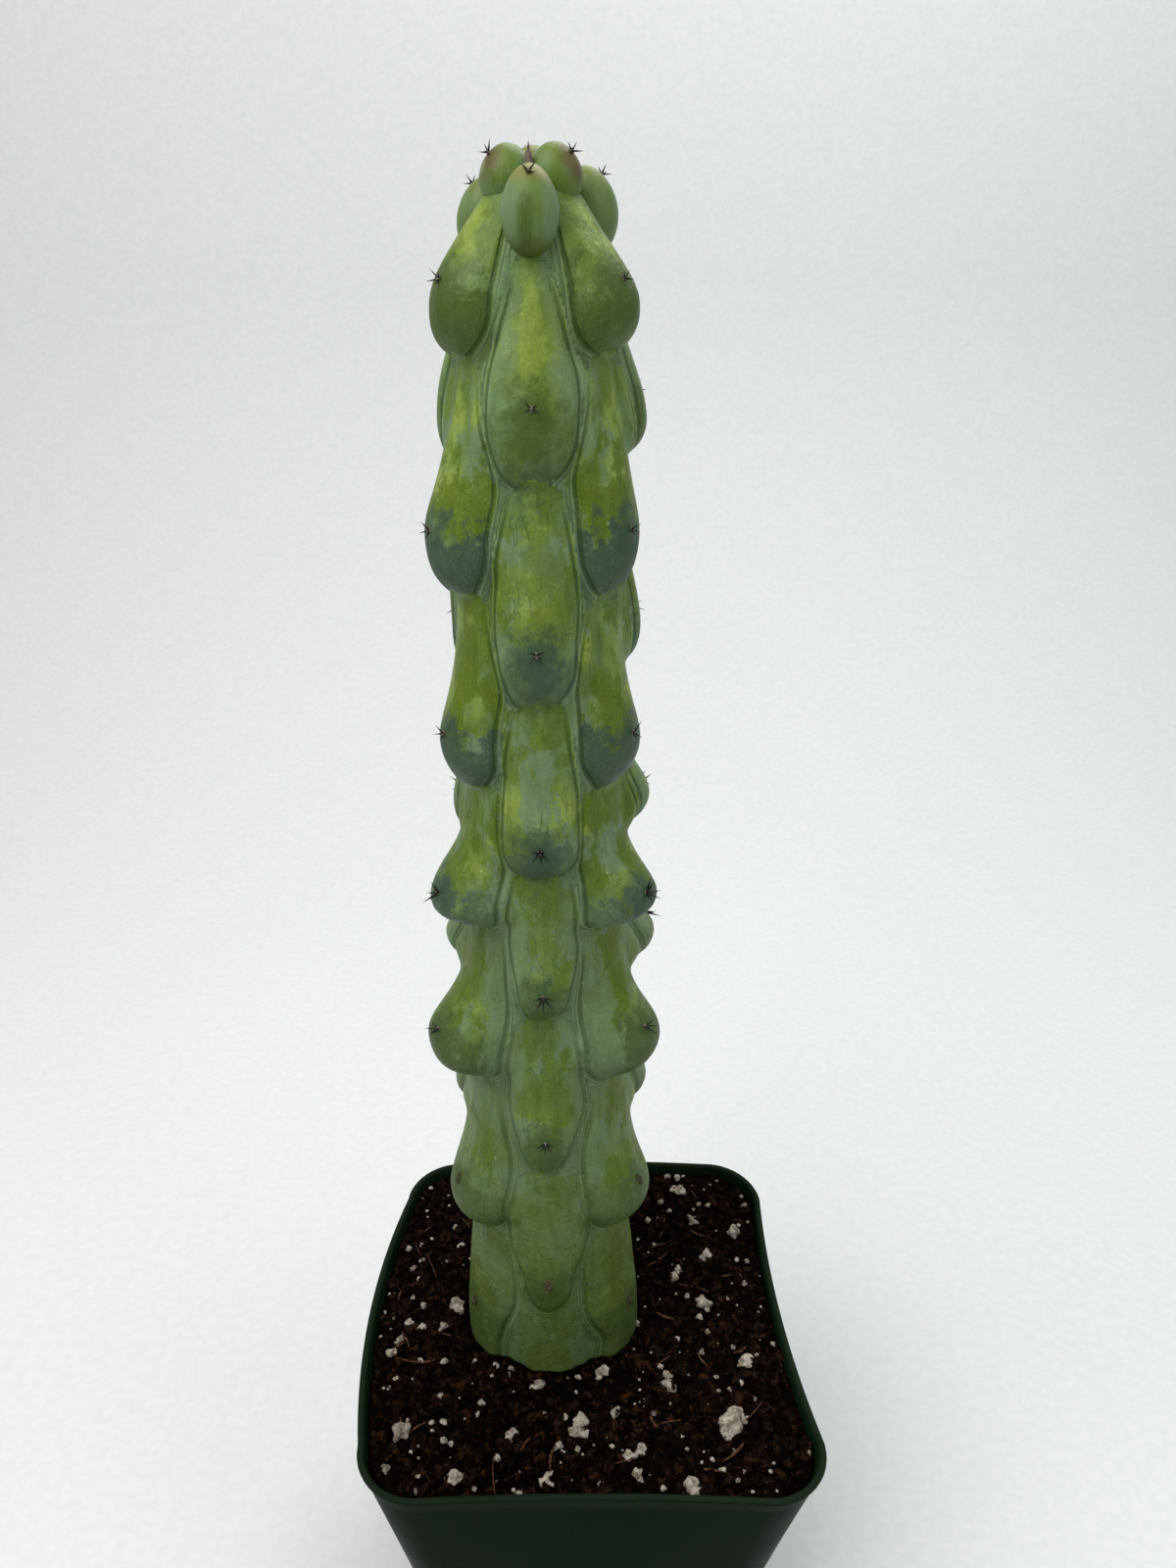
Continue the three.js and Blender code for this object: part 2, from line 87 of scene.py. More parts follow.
class Draws:
    """A repeatable source of numbers from 0 to 1."""

    def __init__(self, seed: int) -> None:
        """Starts the source at a seed."""
        self.state = seed

    def next(self) -> float:
        """The next number."""
        self.state = (self.state * 1664525 + 1013904223) % 4294967296
        return self.state / 4294967296

    def between(self, low: float, high: float) -> float:
        """A number from low to high."""
        return lerp(low, high, self.next())


# Materials


def linear(colour: str) -> tuple[float, float, float, float]:
    """An sRGB hex colour as the linear colour that a shader takes.

    Args:
        colour: The colour as six hex digits after a hash.

    Returns:
        Red, green, blue and alpha.
    """
    parts = [int(colour[i : i + 2], 16) / 255 for i in (1, 3, 5)]
    out = [c / 12.92 if c <= 0.04045 else ((c + 0.055) / 1.055) ** 2.4 for c in parts]
    return (out[0], out[1], out[2], 1.0)


@dataclass(frozen=True)
class Recipe:
    """How a node is added: its type, its settings, its inputs in the order of the links, and its output."""

    type: str
    settings: dict[str, object] = field(default_factory=dict)
    inputs: tuple[int | str, ...] = (0, 1)
    output: int | str = 0


class Node(Enum):
    """The nodes that the materials are made of."""

    PLUS = Recipe("Math", {"operation": "ADD"})
    TIMES = Recipe("Math", {"operation": "MULTIPLY"})
    LARGER = Recipe("Math", {"operation": "MAXIMUM"})
    SIZE = Recipe("Math", {"operation": "ABSOLUTE"}, (0,))
    ZIGZAG = Recipe("Math", {"operation": "PINGPONG"})
    # A number mapped smoothly from a span to another one, from 0 to 1 where none is given
    SPAN = Recipe("MapRange", {"interpolation_type": "SMOOTHSTEP"}, (0, 1, 2, 3, 4))
    # A colour that lies a share of the way between two colours
    MIX = Recipe("Mix", {"data_type": "RGBA"}, (0, 6, 7), 2)
    TINT = Recipe("Mix", {"data_type": "RGBA", "blend_type": "MULTIPLY"}, (0, 6, 7), 2)
    GREY = Recipe("CombineColor", {}, (0, 1, 2))
    RED = Recipe("SeparateColor", {}, (0,))
    # A number that the piece's mesh carries at each point
    MARK = Recipe("Attribute", {}, (), "Fac")
    OBJECT = Recipe("TexCoord", {}, (), "Object")
    # Coordinates moved on, so that two patterns differ, and scaled, so that a pattern is drawn out
    PLACE = Recipe("Mapping", {}, ("Vector", "Location", "Scale"))
    # Soft random patches from about 0.25 to 0.75: one over their size, how many finer layers, how strong
    GRAIN = Recipe("TexNoise", {}, ("Vector", "Scale", "Detail", "Roughness"))
    CELLS = Recipe("TexVoronoi", {}, ("Vector", "Scale"), "Distance")
    BUMP = Recipe("Bump", {}, ("Height", "Distance", "Strength"))


class Bench:
    """The node tree of one material, with its surface shader and its Object coordinates in millimetres."""

    def __init__(self, name: str, roughness: float, ior: float = 1.5, gloss: float = 0.5) -> None:
        """Starts a material.

        Args:
            name: The material's name.
            roughness: The roughness, where nothing drives it.
            ior: The index of refraction.
            gloss: The specular level, of which 0.5 is a clean surface.
        """
        self.material = bpy.data.materials.new(name)
        self.material.use_nodes = True
        self.tree = self.material.node_tree
        self.shader = self.tree.nodes["Principled BSDF"]
        self.shader.inputs["Roughness"].default_value = roughness
        self.shader.inputs["IOR"].default_value = ior
        self.shader.inputs["Specular IOR Level"].default_value = gloss
        self.at = self.add(Node.PLACE, self.add(Node.OBJECT), (0, 0, 0), (1 / MM, 1 / MM, 1 / MM))

    def add(self, node: Node, *links: object, **settings: object) -> Socket:
        """Adds a node with its settings and links. More links than inputs make a chain of such nodes.

        Args:
            node: What is added.
            links: A value, a hex colour or an output to link from, for each of the inputs in turn.
            settings: The node's further properties.

        Returns:
            The node's output.
        """
        recipe = node.value
        made = self.tree.nodes.new("ShaderNode" + recipe.type)
        for key, value in (recipe.settings | settings).items():
            setattr(made, key, value)
        for key, value in zip(recipe.inputs, links, strict=False):
            if isinstance(value, Socket):
                self.tree.links.new(value, made.inputs[key])
            else:
                made.inputs[key].default_value = linear(value) if isinstance(value, str) else value
        out, further = made.outputs[recipe.output], links[len(recipe.inputs) :]
        return self.add(node, out, *further) if further else out

    def share(self, *factors: Socket | float | tuple) -> Socket:
        """A share that is the product of some factors.

        Args:
            factors: Outputs, numbers, or outputs with the span that each is mapped from and the one that it
                is mapped to, which is 0 to 1 where it is left out.

        Returns:
            The output.
        """
        parts = [self.add(Node.SPAN, *part) if isinstance(part, tuple) else part for part in factors]
        return self.add(Node.TIMES, *parts) if len(parts) > 1 else parts[0]

    def layers(self, colour: Socket | str, *layers: tuple) -> Socket:
        """Lays colours over one another.

        Args:
            colour: The lowest colour.
            layers: From the bottom up, each the factors of its share and then its colour.

        Returns:
            The output.
        """
        for *factors, tint in layers:
            colour = self.add(Node.MIX, self.share(*factors), colour, tint)
        return colour

    def patches(
        self, size: float, detail: float, rough: float, shift: Sequence[float] = (0, 0, 0), drawn: float = 1.0
    ) -> Socket:
        """A pattern of soft random patches.

        Args:
            size: Their width in millimetres.
            detail: How many finer layers are added.
            rough: How strong those are.
            shift: The offset that makes these patches differ from others.
            drawn: How many times taller they are than wide.

        Returns:
            The output, from about 0.25 to 0.75.
        """
        where = self.add(Node.PLACE, self.at, shift, (1, 1, 1 / drawn))
        return self.add(Node.GRAIN, where, 1 / size, detail, rough)

    def finish(
        self, colour: Socket, *relief: tuple[Socket, float], depth: float = 1.0, rough: Socket | None = None
    ) -> bpy.types.Material:
        """Links the surface up.

        Args:
            colour: The base colour's output.
            relief: The patterns that raise the surface, each with its height in millimetres.
            depth: The share of the relief that shows.
            rough: The roughness's output.

        Returns:
            The material.
        """
        self.tree.links.new(colour, self.shader.inputs["Base Color"])
        if rough is not None:
            self.tree.links.new(rough, self.shader.inputs["Roughness"])
        if relief:
            raised = self.share(*relief[0])
            for part in relief[1:]:
                raised = self.add(Node.PLUS, raised, self.share(*part))
            self.tree.links.new(self.add(Node.BUMP, raised, MM, depth), self.shader.inputs["Normal"])
        return self.material


class SkinPatterns:
    """Where each layer of the stem's skin shows, each as an output from 0 to 1."""

    def __init__(self, bench: Bench) -> None:
        """Reads the marks of the mesh and adds the patterns that several layers share.

        Args:
            bench: The material's bench.
        """
        self.bench, self.add, share = bench, bench.add, bench.share
        # The classes Skin and Stem say what the marks are
        self.swell, self.under, self.aside, self.outline, self.opened, self.tone, self.areole, self.height = (
            bench.add(Node.MARK, attribute_name=name)
            for name in ("share", "under", "aside", "outline", "opened", "tone", "areole", "height")
        )
        self.young = share((self.height, 202, 228))
        self.aged = share((self.height, 140, 60))
        self.streaks = bench.patches(1.5, 3, 0.6, drawn=6)
        self.strip = share((self.outline, 0.1, 1.2), self.opened)
        self.edge = self.frayed(self.aside, 0.25, bench.patches(5, 3, 0.5, (7, 70, 9)))
        # The bright stripe down the middle of a boss, stronger on the younger ones
        middle, above = (self.edge, 0.5, 0.15), (self.under, -0.1, -0.5)
        self.stripe = share(middle, above, (self.opened, 0, 0.5), (self.height, 125, 225, 0.1, 0.9))
        haze = bench.patches(8, 5, 0.62, (5, 60, 11), 1.4)
        self.haze = self.add(Node.PLUS, haze, share((self.under, -0.3, 0.6, -0.015, 0.05)))
        self.vein, self.fold, self.crease = self.veins(), self.folds(), self.creases()

    def frayed(self, value: Socket, reach: float, patches: Socket) -> Socket:
        """A value that random patches swing to both sides by a reach, which frays an edge read from it."""
        return self.add(Node.PLUS, value, self.bench.share((patches, 0.3, 0.7, -reach, reach)))

    def torn(self, value: Socket, sharp: Sequence[float], soft: Sequence[float]) -> Socket:
        """A share with a sharp edge in a soft one, as wax that is rubbed off has.

        Args:
            value: What decides the share.
            sharp: The values where the sharp edge starts and ends, and its share.
            soft: The values where the soft edge starts and ends, and its share.

        Returns:
            The share.
        """
        edges = (self.bench.share((value, start, end, 0.0, part)) for start, end, part in (sharp, soft))
        return self.add(Node.PLUS, *edges)

    def sun(self) -> Socket:
        """The sunlit crowns of the bosses, with their middle stripes."""
        add, share = self.add, self.bench.share
        patchy = share((self.bench.patches(10, 3, 0.5, (31, 7, 3)), 0.42, 0.6))
        patchy = add(Node.LARGER, patchy, share(self.young, 0.5))
        return add(Node.LARGER, share((self.swell, 0, 0.45), (self.under, -0.1, -0.8), patchy), self.stripe)

    def young_sides(self) -> Socket:
        """The bloom down both sides of the youngest bosses on the even ribs."""
        torn = self.torn(self.edge, (0.42, 0.48, 0.4), (0.4, 0.75, 0.6))
        return self.bench.share(torn, self.young, (self.tone, 0.55, 0.45))

    def bloomed(self) -> Socket:
        """The patches of bloom, thinner on the youngest bosses and on the stripes."""
        torn = self.torn(self.haze, (0.51, 0.535, 0.6), (0.46, 0.62, 0.4))
        return self.bench.share(torn, (self.young, 0, 1, 1, 0.5), (self.stripe, 0.2, 0.8, 1, 0.25))

    def bare(self) -> Socket:
        """The patches where the bloom is rubbed off, more of them above an areole and near it."""
        share = self.bench.share
        worn = self.add(
            Node.PLUS,
            self.bench.patches(8.5, 5, 0.62, (90, 2, 40), 1.5),
            share((self.under, 0.5, -0.6, -0.05, 0.015)),
            share(self.strip, -0.05),
            share((self.areole, 10, 2, 0, 0.06)),
        )
        torn = self.torn(worn, (0.5, 0.525, 0.65), (0.45, 0.6, 0.45))
        return share(torn, (self.tone, 0, 0.9, 0.55, 0.9), (self.young, 0, 1, 1, 0.55))

    def underside_shade_and_tint(self) -> Socket:
        """The undersides of the bosses, blue-green to olive and darkened further with painted shade, stronger
        and reaching higher on the odd ribs.
        """
        share = self.bench.share
        ragged = self.frayed(self.under, 0.45, self.bench.patches(5, 5, 0.65, (2, 44, 8)))
        ragged = self.add(Node.PLUS, ragged, share((self.tone, 0.45, 0.55, 0, 0.12)))
        return share((ragged, -0.1, 0.25), (self.swell, 0, 0.25), (self.tone, 0.45, 0.55, 0.5, 0.9))

    def frost(self) -> Socket:
        """The bloom down the flanks of the older bosses."""
        edge = self.frayed(self.aside, 0.35, self.bench.patches(6, 4, 0.6, (17, 23, 5), 1.6))
        torn = self.torn(edge, (0.5, 0.56, 0.5), (0.4, 0.85, 0.5))
        return self.bench.share(torn, (self.height, 135, 110), (self.height, 35, 95, 0.15, 0.7))

    def veins(self) -> Socket:
        """Fine wandering wrinkles, but for the youngest skin."""
        line = self.add(Node.PLUS, self.bench.patches(5, 2, 0.5, (4, 4, 90), 2.2), -0.5)
        here = self.bench.patches(9, 2, 0.5, (61, 3, 3))
        return self.bench.share((self.add(Node.SIZE, line), 0.009, 0), (here, 0.5, 0.6), (self.young, 0.6, 0))

    def folds(self) -> Socket:
        """The folds along the outlines of the bosses, wider and softer low down: the relief sinks them and
        painted shade darkens them.
        """
        away = self.bench.share(self.add(Node.SIZE, self.outline), (self.aged, 0, 1, 1, 0.55))
        return self.bench.share((away, 0.45, 0.05), self.opened)

    def ridge_highlights(self) -> Socket:
        """Painted highlights on the ridges beside the folds."""
        away = self.add(Node.SIZE, self.add(Node.PLUS, self.outline, -0.85))
        return self.bench.share((away, 0.4, 0.05), self.opened, (self.areole, 3, 6))

    def creases(self) -> Socket:
        """The broken creases that run along outside the folds, every 0.9 mm."""
        ripple = self.add(Node.ZIGZAG, self.add(Node.PLUS, self.outline, -0.1), 0.45)
        near = ((self.outline, 0.5, 0.8), (self.outline, 2.5, 1.3, 0.12, 1))
        return self.bench.share((ripple, 0.24, 0), *near, (self.bench.patches(7, 2, 0.5, drawn=3), 0.36, 0.5))

    def blots(self) -> Socket:
        """The dark blots round the areoles."""
        near = self.frayed(self.areole, 2.2, self.bench.patches(2.5, 4, 0.65, (12, 5, 66)))
        return self.bench.share((near, 6.5, 1.5, 0, 0.8))

    def specks(self) -> Socket:
        """Pale specks about 0.5 mm across, in four of ten cells of 5 mm."""
        distance = self.add(Node.CELLS, self.bench.at, 1 / 5)
        chance = self.add(Node.RED, distance.node.outputs["Color"])
        return self.bench.share((distance, 0.07, 0.035), (chance, 0.62, 0.66))

    def lighter(self) -> Socket:
        """A grey to tint the skin with, by fine streaks and by height."""
        level = self.bench.share((self.streaks, 0.3, 0.7, 0.88, 1.1), (self.height, 60, 240, 1, 1.14))
        return self.add(Node.GREY, level, level, level)


@dataclass(frozen=True)
class WaxySkin:
    """Cactus skin: a thick waxy cuticle, grown. It reads as matte green under a patchy blue-grey bloom, which
    is rubbed off to a saturated olive on the bosses, with a soft broad shine."""

    name: str = "waxy_cactus_skin"
    leaf: str = "#5a7030"
    cool: str = "#5f7848"
    web: str = "#617a54"
    bloom: str = "#687f5b"
    sunlit: str = "#87983c"
    rubbed: str = "#53660f"
    shade: str = "#374d3b"
    ripe: str = "#43571f"
    # Dark green for flecks, creases and veins, and for the painted shade in the folds
    line: str = "#2a4519"
    # Painted highlight on the ridges beside the folds
    ridge_highlight: str = "#8ba37c"
    fleck: str = "#93a257"
    speck: str = "#b4bf86"
    old: str = "#4f5f2a"
    scar: str = "#5d4a35"
    roughness: float = 0.44
    gloss: float = 0.25
    ior: float = 1.46

    def material(self) -> bpy.types.Material:
        """Builds the skin from the bottom layer up.

        Returns:
            The material.
        """
        b = Bench(self.name, self.roughness, self.ior, self.gloss)
        skin = SkinPatterns(b)
        # The painted shade on the undersides, and the blots, are green rather than blue-green near the tip
        # and low down
        green = b.add(Node.LARGER, b.share((skin.height, 200, 212)), b.share((skin.height, 125, 95, 0, 0.8)))
        darker = b.add(Node.MIX, green, self.shade, self.ripe)
        flecks = b.patches(0.55, 3, 0.7)
        colour = b.layers(
            self.leaf,
            ((b.patches(12, 3, 0.55), 0.42, 0.6), self.cool),
            (skin.sun(), 0.8, self.sunlit),
            (skin.young_sides(), 0.6, self.bloom),
            (skin.strip, 0.7, self.web),
            (skin.bloomed(), self.bloom),
            (skin.bare(), self.rubbed),
            # Painted shade on the undersides of the bosses, over their own blue-green to olive
            (skin.underside_shade_and_tint(), darker),
            (skin.frost(), self.bloom),
            ((skin.height, 75, 25), 0.55, self.old),
            ((flecks, 0.52, 0.72, 0, 0.24), self.fleck),
            ((flecks, 0.46, 0.3, 0, 0.25), self.line),
        )
        colour = b.layers(
            b.add(Node.TINT, 1.0, colour, skin.lighter()),
            (skin.vein, 0.45, self.line),
            # Painted shade darkens the folds along the outlines
            (skin.fold, (skin.aged, 0, 1, 0.62, 0.36), self.line),
            # Painted highlights on the ridges beside the folds
            (skin.ridge_highlights(), 0.3, self.ridge_highlight),
            (skin.crease, 0.5, self.line),
            (skin.blots(), darker),
            (skin.specks(), 0.5, self.speck),
            (b.add(Node.MARK, attribute_name="scar"), 0.85, self.scar),
        )
        relief = [(b.patches(0.45, 2, 0.6), 0.06), (skin.streaks, 0.07), (b.patches(3.2, 3, 0.6), 0.5)]
        relief += [(skin.fold, -0.3), (skin.crease, -0.16), (skin.vein, -0.1)]
        rough = b.share((skin.haze, 0.5, 0.56, self.roughness, self.roughness + 0.14))
        return b.finish(colour, *relief, depth=0.9, rough=rough)


@dataclass(frozen=True)
class YoungSkin:
    """Skin of the egg-shaped young bosses: tight new cuticle, blue-green bloom down the sides, streaked
    darker where it stretches, with tan to mauve crowns where the sun meets it, and painted shade at the foot."""

    name: str = "young_cactus_skin"
    leaf: str = "#5e7428"
    cool: str = "#617b43"
    flank: str = "#72896d"
    streak: str = "#45591c"
    crown: str = "#83804a"
    mauve: str = "#5f3f30"
    # Painted shade for the foot of each young boss
    foot: str = "#46481c"
    pale: str = "#869a6e"
    roughness: float = 0.42
    gloss: float = 0.25
    ior: float = 1.46

    def material(self) -> bpy.types.Material:
        """Builds the skin from the bottom layer up.

        Returns:
            The material.
        """
        b = Bench(self.name, self.roughness, self.ior, self.gloss)
        crown, side, foot, flank, middle, tan, mauve, patch = (
            b.add(Node.MARK, attribute_name=name)
            for name in ("crown", "side", "foot", "flank", "middle", "tan", "mauve", "patch")
        )
        streaks, fine = b.patches(2.0, 3, 0.6, drawn=6), b.patches(0.7, 3, 0.65, drawn=6)
        belt = b.share(middle, (tan, 0, 0.6, 0.2, 0.8))
        belt = b.add(Node.PLUS, belt, b.share((fine, 0.3, 0.7, -0.2, 0.2)))
        blotch = b.patches(4, 3, 0.6, (9, 4, 70))
        colour = b.layers(
            self.leaf,
            ((b.patches(6, 3, 0.55), 0.4, 0.62), self.cool),
            ((streaks, 0.5, 0.64), (side, 0.2, 0.9), 0.35, self.streak),
            (flank, (tan, 0.05, 0.6), 0.55, self.flank),
            ((belt, 0.25, 0.7), 0.8, self.streak),
            ((fine, 0.5, 0.75, 0, 0.3), self.pale),
            ((crown, 0.35, 0.9), tan, self.crown),
            ((mauve, 0.3, 0.95), (blotch, 0.3, 0.55, 0.6, 1), 0.85, self.mauve),
            # Painted shade darkens the foot of each young boss, where it overhangs the stem
            (foot, 0.6, self.foot),
            (patch, 0.5, self.pale),
        )
        return b.finish(colour, (b.patches(0.45, 2, 0.6), 0.05), (streaks, 0.12), depth=0.9)


@dataclass(frozen=True)
class Wool:
    """Areole wool: short felted plant hairs, grey-tan and dry, without any shine, browner on old areoles."""

    name: str = "areole_wool"
    pale: str = "#8f8a76"
    dark: str = "#3a342a"
    brown: str = "#3d2f20"
    roughness: float = 0.97
    gloss: float = 0.1

    def material(self) -> bpy.types.Material:
        """Builds the wool. Its hairs, 0.02 mm across, are drawn at 0.2 mm so that they show."""
        b = Bench(self.name, self.roughness, gloss=self.gloss)
        hairs, aged = b.patches(0.2, 3, 0.7, drawn=2.5), b.add(Node.MARK, attribute_name="aged")
        colour = b.layers(self.dark, ((hairs, 0.38, 0.62), self.pale), (aged, 0.7, self.brown))
        return b.finish(colour, (hairs, 0.25))


@dataclass(frozen=True)
class SpineHorn:
    """Spine tissue: hard and horny, nearly black at the point and browner at the root, with a dull shine."""

    name: str = "spine_horn"
    point: str = "#0b0807"
    root: str = "#150f0c"
    roughness: float = 0.45
    gloss: float = 0.25

    def material(self) -> bpy.types.Material:
        """Builds the horn."""
        b = Bench(self.name, self.roughness, gloss=self.gloss)
        fibres, along = b.patches(0.3, 2, 0.5), b.add(Node.MARK, attribute_name="along")
        frayed = b.add(Node.PLUS, along, b.share((fibres, 0.3, 0.7, -0.15, 0.15)))
        return b.finish(b.layers(self.root, ((frayed, 0, 0.45), self.point)), (fibres, 0.05))


@dataclass(frozen=True)
class StubCork:
    """The dry stub at the growing tip: a corky mauve-brown remnant with fine upright ridges."""

    name: str = "stub_cork"
    bark: str = "#62524d"
    ridge: str = "#83726a"
    roughness: float = 0.8
    gloss: float = 0.15

    def material(self) -> bpy.types.Material:
        """Builds the cork."""
        b = Bench(self.name, self.roughness, gloss=self.gloss)
        ridges = b.patches(0.35, 2, 0.5, drawn=5)
        return b.finish(b.layers(self.bark, ((ridges, 0.38, 0.62), self.ridge)), (ridges, 0.2))


@dataclass(frozen=True)
class PotPlastic:
    """Blow-moulded polypropylene: dark bottle green, with the satin shine of a mould that was lightly etched,
    a rim paler from wear and from a painted highlight along its top edge, faint drag marks down the walls and
    dust from the mix."""

    name: str = "green_polypropylene"
    body: str = "#0b1c0f"
    worn: str = "#1e281c"
    dust: str = "#3a332a"
    roughness: float = 0.34
    gloss: float = 0.008
    ior: float = 1.49

    def material(self) -> bpy.types.Material:
        """Builds the plastic. The mould's etching, 0.1 mm across, is drawn at 0.35 mm so that it shows.

        Returns:
            The material.
        """
        b = Bench(self.name, self.roughness, self.ior, self.gloss)
        cloud, specks = b.patches(22, 3, 0.6), b.patches(0.7, 2, 0.6)
        drag, etch = b.patches(0.9, 3, 0.6, drawn=18), b.patches(0.35, 1, 0.5)
        colour = b.layers(
            self.body,
            ((cloud, 0.35, 0.65, 0, 0.25), self.worn),
            # The rim is paler: wear, and a painted highlight along its top edge
            (b.add(Node.MARK, attribute_name="rim"), 0.8, self.worn),
            ((specks, 0.62, 0.72), (cloud, 0.4, 0.6, 0.15, 0.7), 0.6, self.dust),
        )
        rough = b.share((cloud, 0.3, 0.7, self.roughness - 0.05, self.roughness + 0.08))
        return b.finish(colour, (etch, 0.012), (drag, 0.008), depth=0.8, rough=rough)


@dataclass(frozen=True)
class PeatMix:
    """Damp peat and ground bark: nearly black, fibrous and matte, with rusty crumbs through it."""

    name: str = "peat_mix"
    wet: str = "#030100"
    dry: str = "#160a05"
    rusty: str = "#3a2412"
    roughness: float = 0.93
    gloss: float = 0.03

    def material(self) -> bpy.types.Material:
        """Builds the mix."""
        b = Bench(self.name, self.roughness, gloss=self.gloss)
        lumps, crumbs = b.patches(1.6, 4, 0.65), b.patches(2.6, 4, 0.7, (8, 3, 5))
        dry, rusty = ((lumps, 0.46, 0.68), self.dry), ((crumbs, 0.56, 0.66, 0, 0.8), self.rusty)
        return b.finish(b.layers(self.wet, dry, rusty), (lumps, 1.8), (b.patches(0.5, 3, 0.7), 0.7))


@dataclass(frozen=True)
class Perlite:
    """Expanded volcanic glass: foamy and dull off-white, stained brown where damp peat clings to it."""

    name: str = "perlite"
    clean: str = "#b9afa0"
    grey: str = "#75695b"
    stain: str = "#3a2a1e"
    roughness: float = 0.88
    gloss: float = 0.15

    def material(self) -> bpy.types.Material:
        """Builds the foam glass. Its pores, 0.1 mm across, are drawn at 0.3 mm so that they show."""
        b = Bench(self.name, self.roughness, gloss=self.gloss)
        dirt, smear = b.add(Node.MARK, attribute_name="dirt"), b.patches(1.2, 3, 0.7, (3, 9, 1))
        clean, stain = (b.patches(1.8, 3, 0.65), 0.36, 0.6), (smear, 0.52, 0.66)
        colour = b.layers(self.grey, (clean, self.clean), (stain, dirt, 0.9, self.stain))
        return b.finish(colour, (b.patches(0.3, 2, 0.7), 0.4))


@dataclass(frozen=True)
class BarkFibre:
    """Shreds of bark and root: woody, dry, brown to rusty, with a blotchy grain."""

    name: str = "bark_fibre"
    dark: str = "#2c1a10"
    pale: str = "#5b3c25"
    roughness: float = 0.85
    gloss: float = 0.12

    def material(self) -> bpy.types.Material:
        """Builds the wood."""
        b = Bench(self.name, self.roughness, gloss=self.gloss)
        wood = b.patches(0.8, 3, 0.6)
        return b.finish(b.layers(self.dark, ((wood, 0.38, 0.64), self.pale)), (wood, 0.3))


@dataclass(frozen=True)
class StudioPaper:
    """Matte seamless paper, pale and slightly cool, with a faint tooth."""

    name: str = "studio_paper"
    pale: str = "#e6e8e7"
    tooth: str = "#e2e4e4"
    roughness: float = 0.9
    gloss: float = 0.1

    def material(self) -> bpy.types.Material:
        """Builds the paper."""
        b = Bench(self.name, self.roughness, gloss=self.gloss)
        return b.finish(b.layers(self.tooth, ((b.patches(3, 3, 0.5), 0.35, 0.65), self.pale)))


# Shared ways of making a piece


def primitive(name: str, add: Callable, **shape: object) -> bpy.types.Object:
    """Adds a primitive.

    Args:
        name: The piece's name.
        add: Blender's operator for the primitive.
        shape: The operator's properties.

    Returns:
        The piece.
    """
    bpy.ops.object.select_all(action="DESELECT")
    add(**shape)
    piece = bpy.context.object
    piece.name = piece.data.name = name
    return piece


def select_only(piece: bpy.types.Object) -> None:
    """Selects a piece alone and makes it the active one."""
    bpy.ops.object.select_all(action="DESELECT")
    piece.select_set(True)
    bpy.context.view_layer.objects.active = piece


def points_of(piece: bpy.types.Object) -> np.ndarray:
    """The piece's points in millimetres, one row each."""
    flat = np.empty(len(piece.data.vertices) * 3)
    piece.data.vertices.foreach_get("co", flat)
    return flat.reshape(-1, 3) / MM


def set_points(piece: bpy.types.Object, points: np.ndarray) -> None:
    """Puts the piece's points at these places in millimetres."""
    piece.data.vertices.foreach_set("co", (points * MM).ravel())
    piece.data.update()


def set_mark(piece: bpy.types.Object, name: str, values: np.ndarray) -> None:
    """Gives the piece's mesh a number at each point, for its material to read."""
    layer = piece.data.attributes.new(name, "FLOAT", "POINT")
    layer.data.foreach_set("value", np.asarray(values, dtype=np.float32))


def wrapped(
    name: str, rings: np.ndarray, marks: dict[str, np.ndarray], bend: float = 180.0
) -> bpy.types.Object:
    """A grid wrapped round through rings of points, its seam joined and its ends drawn to a point.

    Args:
        name: The piece's name.
        rings: The points in millimetres, as rows, columns and x, y, z.
        marks: Numbers for the material, each as rows and columns.
        bend: The angle in degrees above which an edge stays sharp.

    Returns:
        The piece.
    """
    rows, columns = rings.shape[:2]
    grid = bpy.ops.mesh.primitive_grid_add
    piece = primitive(
        name, grid, x_subdivisions=columns, y_subdivisions=rows - 1, size=1.0, calc_uvs=False
    )
    flat = points_of(piece) * MM
    column = np.rint((flat[:, 0] + 0.5) * columns).astype(int) % columns
    row = np.rint((flat[:, 1] + 0.5) * (rows - 1)).astype(int)
    set_points(piece, rings[row, column])
    for key, values in marks.items():
        set_mark(piece, key, values[row, column])
    bpy.ops.object.mode_set(mode="EDIT")
    bpy.ops.mesh.select_all(action="SELECT")
    bpy.ops.mesh.remove_doubles(threshold=1e-7)
    bpy.ops.mesh.normals_make_consistent(inside=False)
    bpy.ops.object.mode_set(mode="OBJECT")
    bpy.ops.object.shade_smooth_by_angle(angle=math.radians(bend))
    return piece


def lump(name: str, fineness: int, roughen: float, seed: int) -> bpy.types.Object:
    """One irregular lump, about 1 mm in radius, to copy from.

    Args:
        name: The lump's name.
        fineness: How often the first solid of twenty faces is divided.
        roughen: How far the surface goes in and out.
        seed: Which lump of its kind it is.

    Returns:
        The lump.
    """
    piece = primitive(
        name, bpy.ops.mesh.primitive_ico_sphere_add, subdivisions=fineness, radius=MM, calc_uvs=False
    )
    points = points_of(piece)
    for i, point in enumerate(points):
        swing = noise.noise(Vector(point) * 1.3 + Vector((seed * 7.1, seed * 3.3, 0)))
        points[i] = point * (1 + roughen * swing * 2)
    set_points(piece, points)
    return piece


